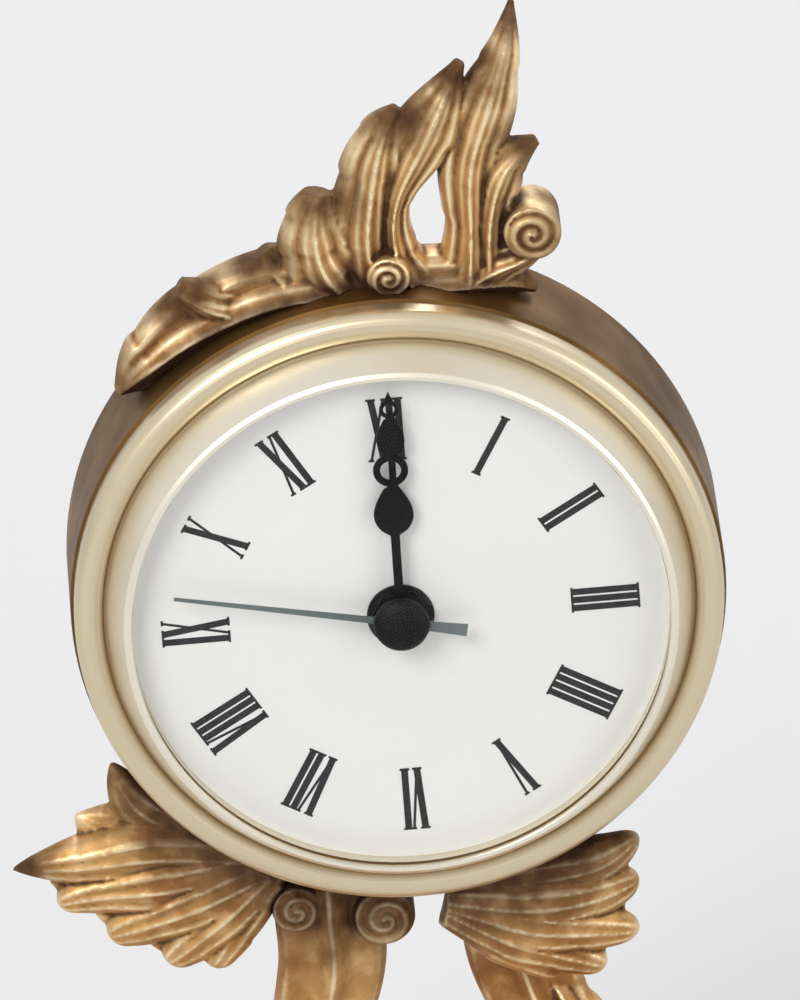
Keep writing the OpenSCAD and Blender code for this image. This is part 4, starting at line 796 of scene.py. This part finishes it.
# Seated child on a rocaille mound; sizes before its scale, for a head of 10 mm
figure = {
    "scale": 1.35, "voxel": 0.24, "smoothing": 2, "seed": 7,
    "mound": [[19, 0], [19.4, 2], [16.4, 5.5], [13, 9], [9, 12], [4, 13.2]],  # radius, height
    # share of the radius, number round, turn in degrees a mm of height
    "moundFolds": (0.07, 5, 20), "moundRibs": (0.016, 30, 24), "moundFlat": 0.8,
    "body": [[0, 1.6, 11.5, 3.6, 3], [0, 1.4, 14, 5.6, 4.8], [0, 0.1, 18, 5.1, 5.2], [0, -0.2, 21, 4.9, 4.9],
             [0, 0.4, 25.8, 5.4, 3.9], [0, 0.7, 28.6, 4.6, 3.1], [0, 0.6, 30, 2.2, 2.1], [0, 0.3, 32.4, 1.9, 1.9]],
    # rounded parts of the body
    "swellings": [((4.5, 0.5, 28), (2.2, 2.1, 2.2)), ((2.3, 3.4, 26), (2, 1.2, 2.6)),
                  ((2.9, 3.2, 14.4), (2.9, 2.9, 2.9))],
    "headPlace": (0, -0.2, 36.2), "headTilt": 6, "headTurn": -8,
    "head": [[0, -0.6, -5, 1, 1], [0, -0.9, -4.3, 2.6, 2.6], [0, -0.5, -2.4, 3.9, 3.9], [0, 0, 0, 4.3, 4.4],
             [0, 0.3, 2.2, 4.3, 4.5], [0, 0.5, 4, 3.2, 3.5], [0, 0.5, 5, 0.8, 0.9]],
    # plain face on the usual proportions of a small child
    "face": [((0, -4.5, -0.9), (0.42, 0.6, 1)), ((0, -4.85, -1.55), (0.62, 0.5, 0.48)),
             ((0.52, -4.55, -1.65), (0.34, 0.38, 0.32)), ((1.85, -2.75, -2.1), (1.7, 1.45, 1.6)),
             ((1.4, -3.75, -0.35), (0.8, 0.62, 0.5)), ((0, -3.7, -4.1), (1, 0.8, 0.75)),
             ((4.25, 0.3, -1), (0.5, 0.9, 1.25))],
    "faceLines": [[[0.45, -4.2, 0.55, 0.3], [1.4, -4.1, 0.85, 0.34], [2.5, -3.5, 0.55, 0.24]]],
    "lips": [[[-0.85, -4.15, -2.75, 0.14], [0, -4.5, -2.62, 0.26], [0.85, -4.15, -2.75, 0.14]],
             [[-0.65, -4.1, -3.05, 0.14], [0, -4.42, -3.15, 0.3], [0.65, -4.1, -3.05, 0.14]]],
    "curls": 150, "curlRadius": (0.75, 1.15), "skull": ((0, 0.3, 0.5), (4.35, 4.5, 4.35)),
    "limbs": [
        [[-4.2, 0.4, 28, 2], [-7, 0, 28.6, 1.9], [-10, -0.8, 31, 1.75], [-10.8, -1.4, 34.5, 1.55],
         [-10.4, -2.2, 38, 0.95]],
        [[4.2, 0.4, 28, 2], [7, 0.8, 26, 1.9], [8.6, 1, 22.5, 1.75], [7.8, -2, 20.4, 1.5], [6.6, -4.6, 19.4, 0.95]],
        [[-2.6, 1, 14.5, 3], [-3.6, -4, 16, 3.1], [-5, -9.2, 16, 2.4], [-5.2, -10.4, 12.6, 2.2], [-4.8, -10.2, 9, 1.3]],
        [[2.6, 1, 14.5, 3], [4.2, -3.6, 15.6, 3.1], [6, -8.4, 15, 2.4], [5.4, -10.6, 12, 2.2],
         [3.8, -11.8, 8.8, 1.3]]],
    "feet": [[[-4.8, -10.1, 8.2, 1.35], [-4.8, -11.6, 7.4, 1.4], [-4.95, -13.8, 6.9, 1.05]],
             [[3.8, -11.7, 8.2, 1.35], [3.2, -13.2, 7.2, 1.4], [2.6, -15, 6.7, 1.05]]],
    # hands: middle of the palm, its direction to the fingers and across to the thumb
    "hands": [((-10.3, -2.5, 39.3), (0.25, -0.25, 1), (0.8, -0.5, 0)),
              ((6.3, -5.6, 19.1), (-0.3, -0.9, -0.35), (-0.9, 0.3, 0))],
    "sash": [[-5.2, 2.5, 17, 1], [-5.6, -2, 18.4, 1.4], [-1.5, -4.4, 18, 1.5], [3, -3.6, 18.6, 1.5],
             [5.6, 0.5, 19, 1.3], [6.2, 3.5, 15, 1.4], [6.6, 5, 11, 0.9]],
    "sashFolds": (-0.75, 0.05, 0.8), "sashFoldSize": 0.62,
    # the sash's end over the lap: x, y, z, radius, and how far its folds lie beside and behind it
    "lap": [[-1.6, -3.9, 17.8, 1.2], [-0.9, -6.6, 16.6, 1.5], [-0.2, -8.6, 13.4, 1.5], [0.1, -8.4, 10.4, 1.1],
            [0.3, -8.8, 8.2, 0.6]],
    "lapFolds": (-1.5, 0.0, 1.4), "lapBehind": 0.3,
    # and the cloth round the back of the hips
    "hips": [[-5.6, 0.6, 17.4, 1.1], [-4.6, 4.2, 16.6, 1.4], [0, 5.9, 16, 1.5], [4.6, 4.4, 16.8, 1.4],
             [6, 0.8, 18, 1.1]],
    "hipFolds": (-2.6, -1.3, 0.1, 1.3),
    "wingDepth": 4.4, "feathers": 7, "featherStep": 0.12,
    "featherLayers": ((1.0, 0.0), (0.6, -0.7)),  # share of the length, y
    "upperFeather": [[0.5, 25.4, 1.2, 0.9, -0.6], [4, 29, 1.3, 0.8, 0], [8.4, 31.6, 1.1, 0.7, 0.6],
                     [12, 30.4, 0.3, 0.4, 1]],
    "lowerFeather": [[0.5, 22.6, 1.2, 0.9, -0.6], [3, 23.2, 1.3, 0.8, 0], [5.6, 22.6, 1, 0.7, 0.6],
                     [7.4, 20.6, 0.3, 0.4, 1]],
}


def moundInto(bm, c, rows=48, sides=420):
    rings = []
    for radius, height in smoothPoints(c["mound"], rows):
        ring = []
        for k in range(sides):
            a = 360 * k / sides
            folds, ribs = (depth * math.cos(math.radians(count * a + turn * height))
                           for depth, count, turn in (c["moundFolds"], c["moundRibs"]))
            r = radius * (1 + folds + ribs)
            ring.append((r * math.cos(math.radians(a)), r * math.sin(math.radians(a)) * c["moundFlat"], height))
        rings.append(ring)
    loftInto(bm, rings)


def headInto(bm, c):
    start = len(bm.verts)
    trunkInto(bm, c["head"])
    ballsInto(bm, c["face"])
    for line in c["faceLines"]:
        for side in (-1, 1):
            tubeInto(bm, [[side * p[0], *p[1:]] for p in line], rows=10, sides=12)
    for line in c["lips"]:
        tubeInto(bm, line, rows=10, sides=12)
    dice = random.Random(c["seed"])
    middle, reaches = c["skull"]
    for i in range(c["curls"]):
        # evenly spread over the skull, left out on the face, the neck and the ears
        up = 1 - 2 * (i + 0.5) / c["curls"]
        around = math.pi * (1 + 5 ** 0.5) * i
        flat = math.sqrt(1 - up * up)
        x, y = flat * math.cos(around), flat * math.sin(around)
        size = dice.uniform(*c["curlRadius"])
        onFace = y < -0.2 and up < 0.62 - 0.25 * abs(x)
        onNeck = up < -0.5
        onEar = abs(x) > 0.8 and up < 0.15 and y < 0.3
        if not (onFace or onNeck or onEar):
            ballInto(bm, [m + way * reach for m, way, reach in zip(middle, (x, y, up), reaches)], size)
    bm.verts.ensure_lookup_table()
    turn = (Matrix.Translation(Vector(c["headPlace"]) * mm) @ Matrix.Rotation(math.radians(c["headTurn"]), 4, "Z")
            @ Matrix.Rotation(math.radians(c["headTilt"]), 4, "X"))
    bmesh.ops.transform(bm, matrix=turn, verts=bm.verts[start:])


def handInto(bm, palm, ahead, across, fingers=(1.9, 2.4, 2.3, 1.8)):
    palm, ahead = Vector(palm), Vector(ahead).normalized()
    across = (Vector(across) - Vector(across).dot(ahead) * ahead).normalized()
    tubeInto(bm, [[*(palm - 1.3 * ahead), 0.85], [*palm, 1.05], [*(palm + 0.9 * ahead), 0.95]], rows=8, sides=14)
    for i, reach in enumerate(fingers):
        root = palm + (0.66 - 0.44 * i) * across + 0.6 * ahead
        tip = palm + (0.82 - 0.55 * i) * across + reach * ahead
        tubeInto(bm, [[*root, 0.36], [*((root + tip) / 2), 0.34], [*tip, 0.26]], rows=6, sides=10)
    thumb = palm + 0.8 * across - 0.3 * ahead
    tubeInto(bm, [[*thumb, 0.4], [*(thumb + 0.5 * across + 0.6 * ahead), 0.36],
                  [*(thumb + 0.65 * across + 1.3 * ahead), 0.28]], rows=6, sides=10)


def wingsInto(bm, c):
    for reach, shift in c["featherLayers"]:
        for i in range(c["feathers"]):
            share = i / (c["feathers"] - 1)
            feather = [[a + (b - a) * share for a, b in zip(p, q)]
                       for p, q in zip(c["upperFeather"], c["lowerFeather"])]
            root = feather[0][:2]
            feather = [[root[0] + (p[0] - root[0]) * reach, root[1] + (p[1] - root[1]) * reach, p[2], p[3],
                        p[4] + shift - c["featherStep"] * i] for p in feather]
            for side in (-1, 1):
                rings = leafRings(feather, rows=16, sides=20, hollows=1, hollowDepth=-0.25, veins=0, notch=0, base=0)
                loftInto(bm, [[(side * x, y + c["wingDepth"], z) for x, y, z in ring] for ring in rings])


def makeFigure(c):
    bm = bmesh.new()
    moundInto(bm, c)
    trunkInto(bm, c["body"])
    ballsInto(bm, c["swellings"])
    for points in c["limbs"]:
        tubeInto(bm, points)
    for points in c["feet"]:
        tubeInto(bm, points, rows=12)
        end = Vector(points[-1][:3])
        for i in range(5):
            # toes in an arc from the big one
            ballInto(bm, end + Vector((0.75 - 0.38 * i, -0.75 + 0.07 * i * i, -0.15)), 0.42 if i else 0.5)
    for palm, ahead, across in c["hands"]:
        handInto(bm, palm, ahead, across)
    for lift in c["sashFolds"]:
        tubeInto(bm, [[x, y, z + lift, r * c["sashFoldSize"]] for x, y, z, r in c["sash"]], rows=40)
    for lift in c["hipFolds"]:
        tubeInto(bm, [[x, y, z + lift, r] for x, y, z, r in c["hips"]], rows=30)
    for beside in c["lapFolds"]:
        tubeInto(bm, [[x + beside, y + c["lapBehind"] * abs(beside), z, r] for x, y, z, r in c["lap"]], rows=30)
    wingsInto(bm, c)
    headInto(bm, c)
    for v in bm.verts:
        v.co = v.co * c["scale"] + Vector((0, 0, plinthTop * mm))
    seat(castPiece("figureCasting", bm, c["voxel"], [floorCutter], smoothing=c["smoothing"]),
         "clock", "cast_gilt", "figure")


makeFigure(figure)
print("figure made")

# Printed numerals: Roman, feet to the middle, thick and thin strokes
numerals = {"ring": 34.0, "height": 11.4, "thick": 1.15, "thin": 0.45, "gap": 0.32, "serif": 0.4, "serifReach": 0.24,
            "vWidth": 2.5, "vFoot": 0.1, "xWidth": 2.7, "light": "#1b1d1f", "dark": "#121314",
            "front": -17.6, "raise": 0.04, "levelGap": 0.001,  # bars that cross lie in levels of their own
            "words": ["XII", "I", "II", "III", "IIII", "V", "VI", "VII", "VIII", "IX", "X", "XI"]}


def strokesOf(word, c):
    # each stroke is (foot x, head x, width); letters stand side by side and the word is centred
    x, out = 0.0, []
    for letter in word:
        if letter == "I":
            out.append((x + c["thick"] / 2, x + c["thick"] / 2, c["thick"]))
            x += c["thick"]
        elif letter == "V":
            foot = x + c["vWidth"] / 2 + c["vFoot"]
            out.append((foot, x + c["thick"] / 2, c["thick"]))
            out.append((foot, x + c["vWidth"], c["thin"]))
            x += c["vWidth"]
        else:
            out.append((x + c["xWidth"] - c["thick"] / 2, x + c["thick"] / 2, c["thick"]))
            out.append((x, x + c["xWidth"], c["thin"]))
            x += c["xWidth"]
        x += c["gap"]
    width = x - c["gap"]
    return [(a - width / 2, b - width / 2, w) for a, b, w in out]


def makeNumerals(c):
    bm = bmesh.new()

    def bar(quad, hour, level):
        # one printed bar, turned to its hour; quad holds x and height over the ring's middle
        turn = math.radians(30 * hour)
        loftInto(bm, [[(px * math.cos(turn) + (c["ring"] + pz) * math.sin(turn), y,
                        dialHeight - px * math.sin(turn) + (c["ring"] + pz) * math.cos(turn)) for px, pz in quad]
                      for y in (c["front"], c["front"] - c["raise"] - level)])

    half = c["height"] / 2
    for hour, word in enumerate(c["words"]):
        for number, (foot, head, w) in enumerate(strokesOf(word, c)):
            level = 2 * c["levelGap"] * number
            bar([(foot - w / 2, -half), (foot + w / 2, -half), (head + w / 2, half), (head - w / 2, half)], hour, level)
            for x, z in ((foot, -half), (head, half - c["serif"])):
                reach = w / 2 + c["serifReach"]
                bar([(x - reach, z), (x + reach, z), (x + reach, z + c["serif"]), (x - reach, z + c["serif"])],
                    hour, level + c["levelGap"])
    piece = newPiece("printedNumerals", bm)
    # screen-printed ink: a matt black that lies a little proud of the enamel
    piece.data.materials.append(makeCoated("printedBlackInk", c["light"], c["dark"], 0.6, 0.5, 0.003))
    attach(piece, "clock")


makeNumerals(numerals)
print("numerals made")

for cutter in (drumCutter, floorCutter):
    bpy.data.objects.remove(cutter)

bpy.context.scene.view_settings.view_transform = "Standard"
